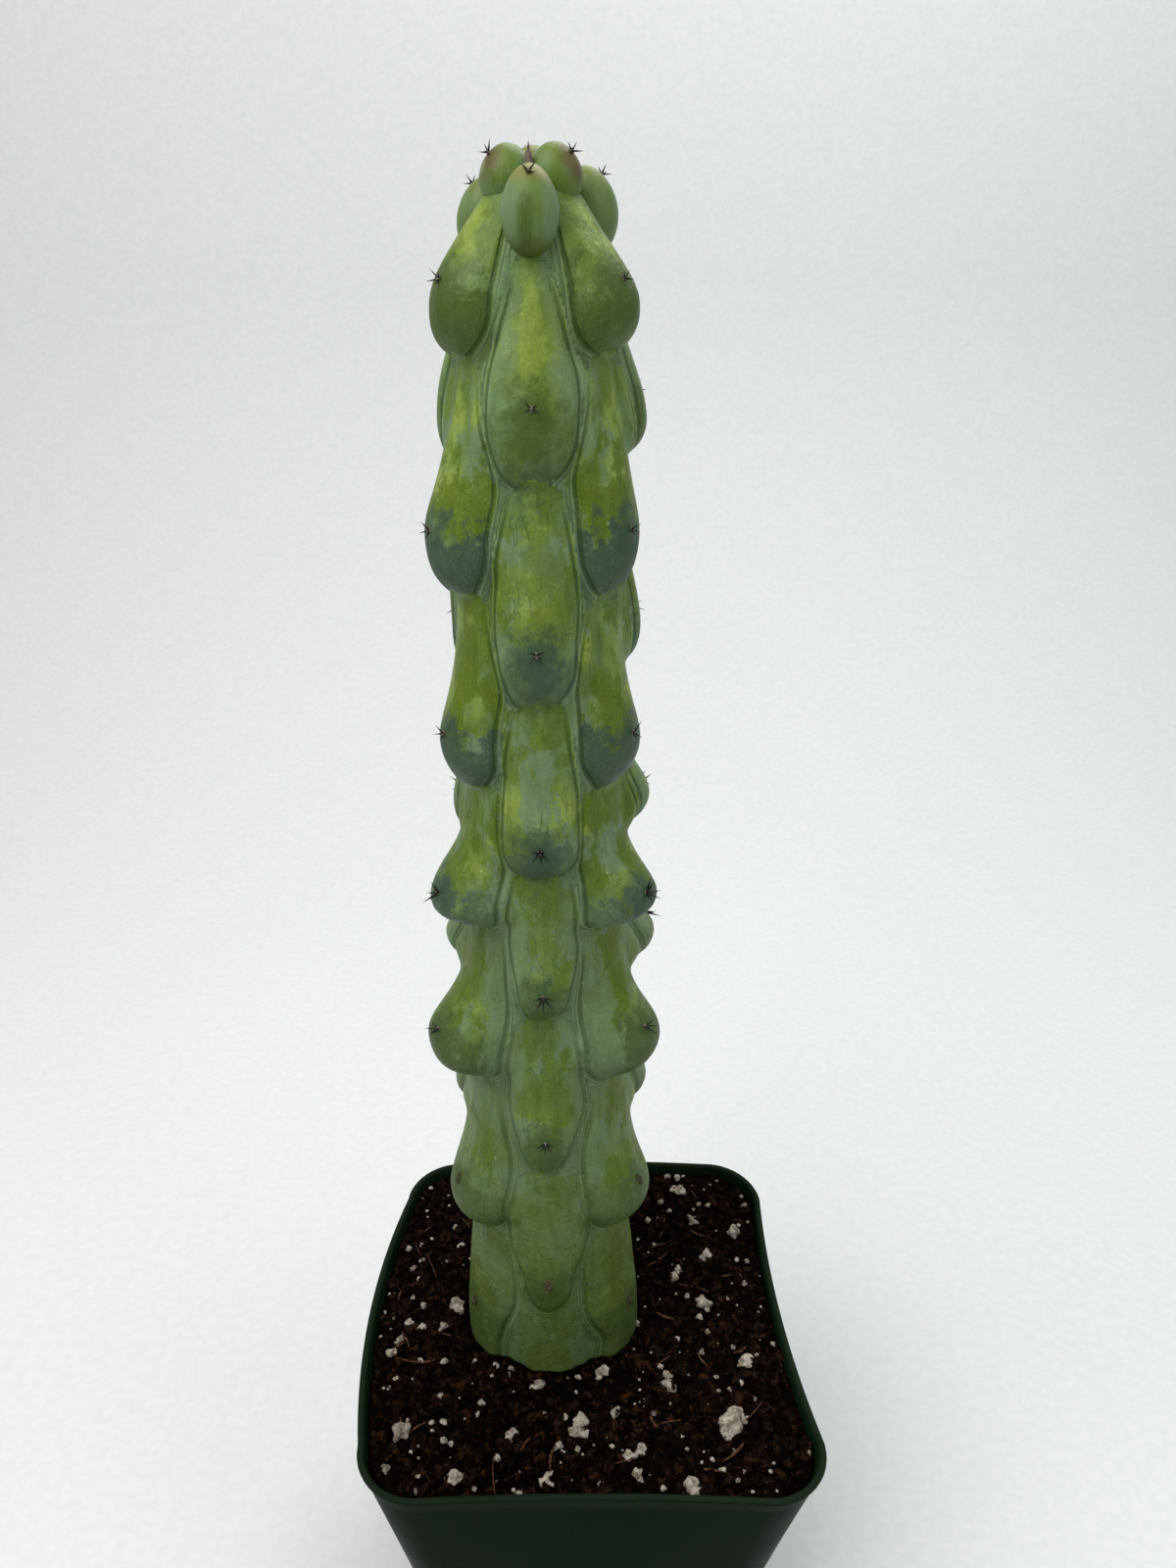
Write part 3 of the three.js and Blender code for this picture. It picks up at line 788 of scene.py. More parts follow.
def cut_rod(name: str, cuts: Sequence[float]) -> bpy.types.Object:
    """A rod with six sides, 1 mm in radius and length, to shape and to copy from.

    Args:
        name: The rod's name.
        cuts: The shares of its length where rings of points lie.

    Returns:
        The rod.
    """
    rod = primitive(
        name, bpy.ops.mesh.primitive_cylinder_add, vertices=6, radius=MM, depth=MM, end_fill_type="TRIFAN"
    )
    bpy.ops.object.mode_set(mode="EDIT")
    for share in cuts:
        bpy.ops.mesh.select_all(action="SELECT")
        bpy.ops.mesh.bisect(plane_co=(0, 0, (share - 0.5) * MM), plane_no=(0, 0, 1))
    bpy.ops.object.mode_set(mode="OBJECT")
    return rod


def copies(
    name: str,
    models: Sequence[bpy.types.Object],
    placed: Sequence[tuple[int, Matrix]],
    marks: dict[str, Sequence[float]],
    smooth_faces: bool = True,
) -> bpy.types.Object:
    """Joins placed copies of modelled pieces into one piece, and removes the models.

    Args:
        name: The piece's name.
        models: The modelled pieces.
        placed: Which model, and where it goes, for each copy. Places are in millimetres.
        marks: A number for each copy, for the material.
        smooth_faces: Whether the faces are shaded smooth.

    Returns:
        The piece.
    """
    shapes = []
    for model in models:
        faces = [tuple(face.vertices) for face in model.data.polygons]
        own = {}
        for layer in model.data.attributes:
            if layer.data_type == "FLOAT" and layer.domain == "POINT":
                own[layer.name] = [item.value for item in layer.data]
        shapes.append((points_of(model), faces, own))
    points, faces = [], []
    values: dict[str, list[float]] = {key: [] for key in (*marks, *shapes[0][2])}
    start = 0
    for i, (which, matrix) in enumerate(placed):
        base, base_faces, own = shapes[which]
        points.append(base @ np.array(matrix.to_3x3()).T + np.array(matrix.translation))
        faces.extend(tuple(v + start for v in face) for face in base_faces)
        start += len(base)
        for key, found in values.items():
            found.extend([marks[key][i]] * len(base) if key in marks else own[key])
    mesh = bpy.data.meshes.new(name)
    mesh.from_pydata((np.vstack(points) * MM).tolist(), [], faces)
    piece = bpy.data.objects.new(name, mesh)
    bpy.context.scene.collection.objects.link(piece)
    for key, found in values.items():
        set_mark(piece, key, np.array(found))
    mesh.polygons.foreach_set("use_smooth", [smooth_faces] * len(mesh.polygons))
    for model in models:
        bpy.data.objects.remove(model)
    select_only(piece)
    return piece


def settle(piece: bpy.types.Object, finish: bpy.types.Material, slot: Slot, *stands_for: str) -> None:
    """Dresses a piece, makes it ride on the plant's one body and hides the frame's nodes that it stands for.

    Args:
        piece: The piece.
        finish: Its material.
        slot: The record's slot that the finish belongs to. Not used.
        stands_for: The frame's nodes that it replaces.
    """
    piece.data.materials.clear()
    piece.data.materials.append(finish)
    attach(piece, BODY)
    if stands_for:
        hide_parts(*stands_for)
    log.info("%s: %d faces", piece.name, len(piece.data.polygons))


# The stem


@dataclass(frozen=True)
class Whorl:
    """Three bosses at one height: the height of their areoles, of the top, the fullest point and the bottom,
    how late they swell on the way down, their half width in degrees and the share of it at the upper end,
    how pointed and how flat-topped their section is, and the rise of each."""

    areole: float
    top: float
    crest: float
    bottom: float
    lag: float
    wide: float
    neck: float
    sharp: float
    flat: float
    rises: tuple[float, float, float]


@dataclass(frozen=True)
class Boss:
    """One boss of a whorl, on its rib: how far it rises, how wide its outline is drawn, as a share of its
    half width, and its tone, which is over 0.5 on the odd ribs."""

    whorl: Whorl
    rib: float
    rise: float
    edge: float
    tone: float


@dataclass
class Skin:
    """Points of the stem's skin and what is known of each: the share of a boss's rise, how far below an
    areole it lies in centimetres, how far aside of a boss's middle line in half widths, how far outside a
    boss's outline in millimetres, how far the fold along the outline has opened, and the boss's tone."""

    points: np.ndarray
    share: np.ndarray
    under: np.ndarray
    aside: np.ndarray
    outline: np.ndarray
    opened: np.ndarray
    tone: np.ndarray


EVEN_RIBS = (0.0, 120.0, -120.0)
ODD_RIBS = (60.0, -60.0, 180.0)
EVEN_WHORLS = (
    Whorl(218.4, 241.5, 214.8, 203.8, 1.15, 34, 0.38, 1.3, 2.6, (3.4, 5.3, 3.6)),
    Whorl(177.4, 207.5, 175.2, 164.4, 1.7, 32, 0.6, 1.3, 2.5, (3.1, 4.3, 2.7)),
    Whorl(138.2, 168.5, 137.8, 129.2, 2.3, 32, 0.58, 1.4, 2.4, (3.5, 7.0, 3.7)),
    Whorl(104.8, 133.5, 104.2, 96.0, 3.2, 33, 0.65, 1.8, 2.4, (2.3, 8.2, 6.6)),
    Whorl(67.2, 99.5, 65.2, 57.6, 3.6, 35, 0.65, 2.0, 2.2, (1.3, 5.4, 4.8)),
    Whorl(25.6, 60.0, 25.0, 16.3, 3.4, 35, 0.7, 2.0, 2.0, (0.8, 1.3, 0.9)),
)
ODD_WHORLS = (
    Whorl(237.0, 250.5, 233.6, 223.9, 1.45, 33, 1.1, 1.1, 2.6, (5.4, 4.9, 4.8)),
    Whorl(197.2, 226.5, 195.0, 183.5, 2.1, 32, 0.6, 1.3, 2.5, (3.0, 5.1, 4.3)),
    Whorl(158.8, 187.5, 156.8, 146.0, 2.25, 32, 0.7, 1.3, 2.4, (4.1, 4.7, 4.4)),
    Whorl(124.7, 150.0, 122.4, 115.2, 2.5, 32, 0.8, 1.7, 2.8, (7.8, 7.9, 7.0)),
    Whorl(92.2, 118.5, 88.2, 77.0, 2.4, 33, 0.78, 1.8, 2.6, (8.3, 9.4, 8.0)),
    Whorl(49.6, 80.5, 44.8, 35.8, 2.5, 32, 0.75, 1.7, 2.6, (5.5, 5.0, 5.0)),
    Whorl(10.0, 40.0, 2.0, -22.0, 1.2, 34, 0.8, 1.0, 2.0, (2.1, 1.0, 1.4)),
)


@dataclass
class StemForm:
    """The form of the six-ribbed stem: a core that carries a low rib between whorls of swollen bosses."""

    top: float = 253.0
    foot: float = -28.0
    rounds_from: float = 232.0
    rib_rise: float = 1.0
    rib_fade: float = 14.0
    edge_rise: float = 0.5
    # A boss's foot reaches this many half widths out
    web: float = 1.38
    even_edge: float = 0.83
    odd_edge: float = 1.06
    edge_low: float = 0.93
    # The upper bosses hang down by up to this much
    droop: float = 0.9
    sag_from: float = 90.0
    sag_span: float = 100.0
    # Bosses that rise less than this are slimmer low down
    slim_under: float = 3.0
    slim: float = 0.6
    # Shares of the way down a boss: where it has opened, is at its full width and narrows again
    opening: float = 0.12
    widened_at: float = 0.75
    narrows_from: float = 0.6
    narrows_over: float = 0.5
    step_opening: float = 0.35
    # Waves that keep the outlines from running straight: size in degrees or millimetres, waves in a turn
    # round the stem, waves in radians for each millimetre of height, and where the wave starts
    aside_waves: tuple[tuple[float, float, float, float], ...] = ((1.0, 3, 0.21, 1), (0.7, 5, -0.34, 2))
    upright_waves: tuple[tuple[float, float, float, float], ...] = ((0.4, 4, 0.17, 0), (0.3, 7, -0.29, 1))
    outline_reach: float = 6.0
    core: tuple[tuple[float, float], ...] = (
        (-30, 15.6), (-12, 19.2), (0, 19.2), (20, 18.3), (45, 17.9), (67, 17.3), (104, 15.9),
        (138, 15.0), (174, 14.7), (204, 14.8), (216, 13.9), (228, 12.4), (240, 11.3), (253, 10.6),
    )
    bosses: list[Boss] = field(default_factory=list)

    def __post_init__(self) -> None:
        """Lays the bosses out on their ribs."""
        draws = Draws(91)
        for ribs, whorls in ((EVEN_RIBS, EVEN_WHORLS), (ODD_RIBS, ODD_WHORLS)):
            for whorl in whorls:
                for rib, rise in zip(ribs, whorl.rises, strict=True):
                    tone = 0.5 * draws.next() + (0.5 if ribs is ODD_RIBS else 0.0)
                    edge = self.odd_edge if ribs is ODD_RIBS else self.even_edge
                    self.bosses.append(Boss(whorl, rib, rise, edge, tone))

    def core_radius(self, heights: np.ndarray) -> np.ndarray:
        """The stem's radius in the valleys between its ribs, rounded off towards the tip.

        Args:
            heights: Heights above the rim.

        Returns:
            The radii.
        """
        at = np.array([p[0] for p in self.core])
        value = np.array([p[1] for p in self.core])
        low = np.maximum(np.arange(len(at)) - 1, 0)
        high = np.minimum(np.arange(len(at)) + 1, len(at) - 1)
        slope = (value[high] - value[low]) / (at[high] - at[low])
        i = np.clip(np.searchsorted(at, heights) - 1, 0, len(at) - 2)
        span = at[i + 1] - at[i]
        t = np.clip((heights - at[i]) / span, 0, 1)
        start = (2 * t**3 - 3 * t**2 + 1) * value[i] + (t**3 - 2 * t**2 + t) * span * slope[i]
        end = (3 * t**2 - 2 * t**3) * value[i + 1] + (t**3 - t**2) * span * slope[i + 1]
        close = np.clip((heights - self.rounds_from) / (self.top - self.rounds_from), 0, 1)
        return (start + end) * np.sqrt(1 - close**3)

    def wavy(self, angles: np.ndarray, heights: np.ndarray) -> tuple[np.ndarray, np.ndarray]:
        """Places moved a little along and across the ribs, so that outlines waver.

        Args:
            angles: The places' angles.
            heights: The places' heights.

        Returns:
            The moved angles and heights.
        """
        moved = []
        for base, waves in ((angles, self.aside_waves), (heights, self.upright_waves)):
            total = base + 0.0
            for size, turns, climb, start in waves:
                total = total + size * np.sin(turns * np.radians(angles) + climb * heights + start)
            moved.append(total)
        return moved[0], moved[1]

    def over_boss(self, boss: Boss, angles: np.ndarray, heights: np.ndarray) -> tuple[np.ndarray, ...]:
        """How places on the stem lie to one boss.

        Args:
            boss: The boss.
            angles: The places' angles.
            heights: The places' heights.

        Returns:
            The share of the boss's rise, the reach across its outline (1 on the outline), the share of the
            way from its top to its bottom, how far below its areole the place is, in centimetres, and how
            far aside of its middle line, in half widths.
        """
        whorl = boss.whorl
        t = (whorl.top - heights) / (whorl.top - whorl.bottom)
        crest = (whorl.top - whorl.crest) / (whorl.top - whorl.bottom)
        down = np.clip(t / crest, 0, 1)
        under = np.maximum((t - crest) / (1 - crest), 0)
        aside = np.abs((angles - boss.rib + 540) % 360 - 180)
        slim = self.slim if boss.rise < self.slim_under else 1.0
        closing = smooth((down - self.narrows_from) / self.narrows_over)
        wide = whorl.wide * lerp(whorl.neck, 1, smooth(down / self.widened_at)) * lerp(1, slim, closing)
        edge = boss.edge * lerp(1, self.edge_low, closing)
        head = 1 - smooth(t / self.opening)
        off_line = aside / (wide * edge)
        across = np.hypot(off_line, under) + head
        spread = np.hypot(aside / (wide * self.web), under) + head
        swell = np.sin(np.pi / 2 * down**whorl.lag) ** 2
        share = swell * (1 - np.minimum(spread, 1) ** whorl.flat) ** whorl.sharp
        share, across = np.where(t < 0, 0, share), np.where(t < 0, 2, across)
        return share, across, t, (whorl.areole - heights) / 10, off_line

    def nearest(self, angles: np.ndarray, heights: np.ndarray) -> np.ndarray:
        """The least reach across an outline, over all the bosses."""
        angles, heights = self.wavy(angles, heights)
        least = np.full(np.shape(angles), 2.0)
        for boss in self.bosses:
            least = np.minimum(least, self.over_boss(boss, angles, heights)[1])
        return least

    def skin(self, angles: np.ndarray, heights: np.ndarray) -> Skin:
        """The stem's skin at some places, about the stem's own axis.

        Args:
            angles: The places' angles.
            heights: The places' heights.

        Returns:
            The skin's points and what is known of each.
        """
        shape = np.shape(angles)
        rise, drop, share = np.zeros(shape), np.zeros(shape), np.zeros(shape)
        least, under, aside = np.full(shape, 2.0), np.full(shape, -1.0), np.ones(shape)
        opened, tone = np.zeros(shape), np.full(shape, 0.5)
        wavy_angles, wavy_heights = self.wavy(angles, heights)
        for boss in self.bosses:
            own, across, t, below, off_line = self.over_boss(boss, wavy_angles, wavy_heights)
            rise += boss.rise * own
            drop += self.droop * smooth((boss.whorl.areole - self.sag_from) / self.sag_span) * own
            share = np.maximum(share, own)
            closer = across < least
            under = np.where(closer, below, under)
            aside = np.where(closer, np.minimum(off_line, 1.5), aside)
            opened = np.where(closer, smooth(t / self.step_opening), opened)
            tone = np.where(closer & (across < 1), boss.tone, tone)
            least = np.minimum(least, across)
        core = self.core_radius(heights)
        valley = np.abs((angles + 390) % 60 - 30) / 30
        # Skin inside an outline lies a step higher
        inside = opened * smooth((1.03 - least) / 0.2)
        fade = smooth((self.top - heights) / self.rib_fade)
        rib = fade * (self.rib_rise * (1 - valley**2) + self.edge_rise * inside)
        reach = core + rib + rise
        step = 0.05
        turn = np.degrees(step / np.maximum(reach, 1.0))
        around = self.nearest(angles + turn, heights) - self.nearest(angles - turn, heights)
        upward = self.nearest(angles, heights + step) - self.nearest(angles, heights - step)
        slope = np.maximum(np.hypot(around, upward) / (2 * step), 0.02)
        outline = np.clip((least - 1) / slope, -self.outline_reach, self.outline_reach)
        a = np.radians(angles)
        points = np.stack([reach * np.sin(a), -reach * np.cos(a), heights - drop], -1)
        return Skin(points, share, under, aside, outline, opened, tone)

    def point(self, angle: float, height: float) -> Vector:
        """One point of the skin, about the stem's own axis."""
        return Vector(self.skin(np.array([angle]), np.array([height])).points[0])


@dataclass(frozen=True)
class Areole:
    """Where an areole sits, which ways are out of the skin, up along it and to its side, the share of their
    full length that its spines have, whether it is on a young boss, and whether its spines spread level."""

    at: Vector
    out: Vector
    up: Vector
    side: Vector
    spines: float
    young: bool
    level: bool


@dataclass(frozen=True)
class Egg:
    """A young boss that is still egg-shaped: its angle round the tip, its distance from the axis, its height,
    its half sizes across, in depth and in height, how far it leans out in degrees, and how mauve, pale in one
    patch and tan its crown is."""

    angle: float
    reach: float
    height: float
    half: tuple[float, float, float]
    lean: float
    mauve: float
    patch: float
    tan: float

    def placing(self) -> Matrix:
        """The matrix that puts the egg round the tip."""
        turn = Matrix.Rotation(math.radians(self.angle), 4, "Z")
        move = Matrix.Translation((0, -self.reach, self.height))
        return turn @ move @ Matrix.Rotation(math.radians(-self.lean), 4, "X")


@dataclass
class Stem:
    """The stem: its ribbed skin, the young bosses at its tip, and its areoles and spines."""

    form: StemForm = field(default_factory=StemForm)
    columns: int = 272
    body_rows: int = 330
    cap_rows: int = 28
    fold_depth: float = 0.14
    fold_width: float = 0.45
    crease_depth: float = 0.06
    crease_spacing: float = 1.8
    unevenness: float = 0.22
    unevenness_size: tuple[float, float, float] = (7.0, 7.0, 11.0)
    # Areoles below this are scarred
    scarred_to: float = 40.0
    lowest_spiny: float = 60.0
    eggs: tuple[Egg, ...] = (
        Egg(0, 10.2, 246.0, (4.6, 4.8, 6.8), 12, 0.0, 0.0, 0.8),
        Egg(120, 10.7, 246.2, (4.6, 4.8, 6.8), 12, 0.3, 0.0, 0.3),
        Egg(-120, 9.4, 244.8, (4.6, 4.8, 6.8), 12, 0.3, 0.0, 0.3),
        Egg(60, 4.2, 250.9, (4.6, 4.6, 5.1), 0, 1.0, 0.0, 0.1),
        Egg(-60, 4.4, 250.7, (4.6, 4.6, 5.1), 0, 1.0, 1.0, 0.1),
        Egg(180, 4.2, 250.7, (4.6, 4.6, 5.1), 0, 0.5, 0.0, 0.6),
    )
    egg_areole_turn: float = 45.0
    stub_at: tuple[float, float] = (-0.3, -4.7)
    # Heights and radii of the stub, which ends in a spine
    stub_profile: tuple[tuple[float, float], ...] = (
        (248.5, 0), (248.5, 0.5), (250.5, 0.58), (252.2, 0.6), (253.6, 0.58), (254.3, 0.48), (254.5, 0.24),
        (255.2, 0.16), (255.9, 0.02), (256.0, 0),
    )
    # Heights, and the share of their full length that spines have there
    spine_shares: tuple[tuple[float, ...], tuple[float, ...]] = (
        (67, 92, 104, 125, 138, 160, 240), (0.9, 0.92, 1.1, 1.15, 1.0, 0.88, 0.72),
    )
    level_spines_to: float = 110.0
    stout_from: float = 0.95
    stout: tuple[float, float] = (0.25, 0.34)
    # How deep a spine is rooted, and where spines point, in degrees from straight up round the areole
    spine_root: float = 0.9
    spine_turns: tuple[float, ...] = (-52, 52, -128, 128)
    stout_turns: tuple[float, ...] = (-52, 52, -128, 128, 4, 176)
    level_turns: tuple[float, ...] = (-82, 82, -138, 138, 180)
    spine_stray: float = 24.0
    spine_lean: tuple[float, float] = (44, 62)
    spine_length: tuple[float, float] = (2.0, 3.3)
    # Half sizes of a cushion across, upwards and outwards: on a young boss, on an older one and a bare one
    young_cushion: tuple[float, float, float] = (0.45, 0.4, 0.35)
    older_cushion: tuple[float, float, float] = (0.5, 0.55, 0.4)
    bare_cushion: tuple[float, float, float] = (0.7, 1.3, 0.5)

    def build(self) -> None:
        """Builds and dresses every piece of the plant."""
        settle(self.skin(), WaxySkin().material(), Slot.CACTUS, "cactus")
        settle(self.young_bosses(), YoungSkin().material(), Slot.CACTUS)
        settle(self.tip_stub(), StubCork().material(), Slot.CACTUS)
        places = self.areoles()
        settle(self.cushions(places), Wool().material(), Slot.CACTUS)
        settle(self.spines(places), SpineHorn().material(), Slot.CACTUS)

    def skin(self) -> bpy.types.Object:
        """The stem's skin, with folds along the outlines of the bosses."""
        form = self.form
        near_tip = np.linspace(1, 0, self.cap_rows, endpoint=False) ** 2
        cap = form.top - (form.top - form.rounds_from) * near_tip[::-1]
        body = np.linspace(form.foot, form.rounds_from, self.body_rows)
        heights = np.concatenate([[form.foot], body, cap[cap > form.rounds_from + 0.01][::-1], [form.top]])
        heights = np.sort(heights)
        angles = np.arange(self.columns) * 360.0 / self.columns
        grid_angles, grid_heights = np.meshgrid(angles, heights)
        skin = form.skin(grid_angles, grid_heights)
        points = skin.points
        a = np.radians(grid_angles)
        outward = np.stack([np.sin(a), -np.cos(a), np.zeros_like(a)], -1)
        fold = np.exp(-((skin.outline / self.fold_width) ** 2)) * skin.opened
        # Creases run outside the outlines, from 0.4 to 2.6 mm away
        creases = np.cos((skin.outline - 0.1) * 2 * np.pi / self.crease_spacing) * skin.opened
        creases *= smooth((skin.outline - 0.4) / 0.8) * smooth((2.6 - skin.outline) / 1.2)
        wave = np.zeros_like(fold)
        for place in np.ndindex(wave.shape):
            wave[place] = noise.noise(Vector(points[place] / self.unevenness_size))
        inward = self.fold_depth * fold - self.crease_depth * creases + self.unevenness * (wave + 0.5)
        fading = smooth((form.top - 2 - grid_heights) / 8)
        points = points - outward * (inward * fading)[..., None]
        points[0] = (0, 0, form.foot)
        points[-1] = (0, 0, points[-2, :, 2].mean() + 0.02)
        points = points + np.array(STEM_ORIGIN)
        near, scar = self.areole_marks(points)
        known = ("share", "under", "aside", "outline", "opened", "tone")
        marks = {name: getattr(skin, name) for name in known}
        marks |= {"height": grid_heights, "areole": near, "scar": scar}
        return wrapped("stem_skin", points, marks)

    def areole_marks(self, points: np.ndarray) -> tuple[np.ndarray, np.ndarray]:
        """How far each point is from an areole, drawn out downwards, and where the skin is scarred.

        Args:
            points: The skin's points in the frame.

        Returns:
            The distance in millimetres, and the scar's strength.
        """
        # Heights below an areole, and all heights at a scar, count for less, which draws the marks out
        near = np.full(points.shape[:2], 12.0)
        scar = np.zeros(points.shape[:2])
        for boss in self.form.bosses:
            at = self.form.point(boss.rib, boss.whorl.areole) + STEM_ORIGIN
            away = points - np.array(at)
            across, up = np.hypot(away[..., 0], away[..., 1]), away[..., 2]
            near = np.minimum(near, np.hypot(across, np.where(up < 0, 0.35, 1.0) * up))
            if boss.whorl.areole < self.scarred_to:
                scar = np.maximum(scar, 1 - smooth((np.hypot(across, up * 0.4) - 0.5) / 0.7))
        return near, scar

    def young_bosses(self) -> bpy.types.Object:
        """The egg-shaped young bosses round the tip.

        Returns:
            The piece.
        """
        ball = bpy.ops.mesh.primitive_uv_sphere_add
        model = primitive("young_boss", ball, segments=56, ring_count=40, radius=MM, calc_uvs=False)
        points = points_of(model)
        # The ball narrows a little towards its top
        fuller = 1 - 0.07 * points[:, 2] - 0.06 * points[:, 2] ** 3
        points[:, :2] *= np.minimum(fuller, 1.0)[:, None]
        set_points(model, points)
        # Marks on the ball of radius 1, with z up and -y away from the stem's tip
        x, y, z = points.T
        set_mark(model, "crown", smooth((z + 0.1) / 1.1))
        set_mark(model, "side", 1 - np.abs(z))
        # The foot, which painted shade darkens
        set_mark(model, "foot", smooth((-z - 0.5) / 0.4))
        set_mark(model, "flank", smooth((np.abs(x - 0.05) - 0.28) / 0.35) * smooth(1.6 - z * 1.6))
        set_mark(model, "middle", np.exp(-(((x + 0.12) / 0.3) ** 2)) * smooth((0.55 - z) / 0.5))
        outer = smooth((z * 0.5 - y * 0.75 - 0.1) / 0.9)
        from_spot = np.linalg.norm(points - np.array([-0.15, -0.88, 0.3]), axis=1)
        spot = 1 - smooth((from_spot - 0.12) / 0.22)
        placed = []
        for egg in self.eggs:
            size = Matrix.Diagonal((*egg.half, 1.0))
            placed.append((0, Matrix.Translation(STEM_ORIGIN) @ egg.placing() @ size))
        piece = copies("young_bosses", [model], placed, {"tan": [egg.tan for egg in self.eggs]})
        set_mark(piece, "mauve", np.outer([egg.mauve for egg in self.eggs], outer**2).ravel())
        set_mark(piece, "patch", np.outer([egg.patch for egg in self.eggs], spot).ravel())
        return piece

    def tip_stub(self) -> bpy.types.Object:
        """The dry stub with its spine, between the young bosses."""
        angles = np.linspace(0, 2 * np.pi, 14, endpoint=False)
        ridged = 1 + 0.08 * np.cos(angles * 5)
        around = np.stack([ridged * np.sin(angles), -ridged * np.cos(angles), np.zeros(14)], -1)
        rings = [around * radius + np.array([0, 0, height]) for height, radius in self.stub_profile]
        return wrapped("tip_stub", np.stack(rings) + np.array(STEM_ORIGIN) + np.array([*self.stub_at, 0]), {})

    def spine_share(self, height: float) -> float:
        """The share of their full length that spines have at a height."""
        if height < self.lowest_spiny:
            return 0.0
        return float(np.interp(height, *self.spine_shares))

    def areoles(self) -> list[Areole]:
        """The places of all the areoles, the young bosses' first.

        Returns:
            The areoles.
        """
        found = []
        tilt = math.radians(self.egg_areole_turn)
        for egg in self.eggs:
            _, across, tall = egg.half
            out = Vector((0, -math.sin(tilt) / across, math.cos(tilt) / tall)).normalized()
            place = egg.placing()
            at = place @ Vector((0, -across * math.sin(tilt), tall * math.cos(tilt)))
            ways = [place.to_3x3() @ way for way in (out, Vector((0, out.z, -out.y)), Vector((1, 0, 0)))]
            found.append(Areole(at, *ways, self.spine_share(egg.height), True, False))
        for boss in self.form.bosses:
            height = boss.whorl.areole
            at = self.form.point(boss.rib, height)
            up = (self.form.point(boss.rib, height + 0.8) - at).normalized()
            left, right = (self.form.point(boss.rib + turn, height) for turn in (-1, 1))
            side = (right - left).normalized()
            out = side.cross(up).normalized()
            level = height < self.level_spines_to
            found.append(Areole(at, out, up, side, self.spine_share(height), False, level))
        return found

    def cushions(self, places: list[Areole]) -> bpy.types.Object:
        """The woolly cushions of the areoles.

        Args:
            places: The areoles.

        Returns:
            The piece.
        """
        models = [lump(f"tuft_{i}", fineness=3, roughen=0.35, seed=i + 3) for i in range(2)]
        placed, aged = [], []
        for i, place in enumerate(places):
            turn = Matrix((place.side, place.up, place.out)).transposed().to_4x4()
            half = self.young_cushion if place.young else self.older_cushion
            if place.spines == 0:
                half = self.bare_cushion
            size = Matrix.Diagonal((*half, 1.0))
            placed.append((i % 2, Matrix.Translation(STEM_ORIGIN + place.at) @ turn @ size))
            aged.append(1.0 if place.spines == 0 else 0.0)
        return copies("areole_wool", models, placed, {"aged": aged})

    def spines(self, places: list[Areole]) -> bpy.types.Object:
        """The spines, two that lean up and two that lean down from every areole but the lowest. The stoutest
        ones have one more up and one more down, and those low down spread level, with one more down.

        Args:
            places: The areoles.

        Returns:
            The piece.
        """
        model = cut_rod("spine", (0.2, 0.4, 0.6, 0.8))
        points = points_of(model)
        # The rod tapers to a fine point
        along = points[:, 2] + 0.5
        points[:, :2] *= (1 - 0.93 * along**1.3)[:, None]
        points[:, 2] = along
        set_points(model, points)
        set_mark(model, "along", along)
        draws, placed = Draws(7), []
        for place in places:
            if place.spines == 0:
                continue
            turns = self.stout_turns if place.spines > self.stout_from else self.spine_turns
            if place.level:
                turns = self.level_turns
            thick = lerp(*self.stout, smooth((place.spines - 0.8) / 0.25))
            for turn in turns:
                angle = math.radians(turn + self.spine_stray * (draws.next() - 0.5))
                lean = math.radians(draws.between(*self.spine_lean))
                length = place.spines * draws.between(*self.spine_length)
                across = place.up * math.cos(angle) + place.side * math.sin(angle)
                way = place.out * math.cos(lean) + across * math.sin(lean)
                root = place.at - way * self.spine_root
                face = way.to_track_quat("Z", "Y").to_matrix().to_4x4()
                size = Matrix.Diagonal((thick, thick, length + self.spine_root, 1.0))
                placed.append((0, Matrix.Translation(STEM_ORIGIN + root) @ face @ size))
        return copies("spines", [model], placed, {})


# The pot and what fills it


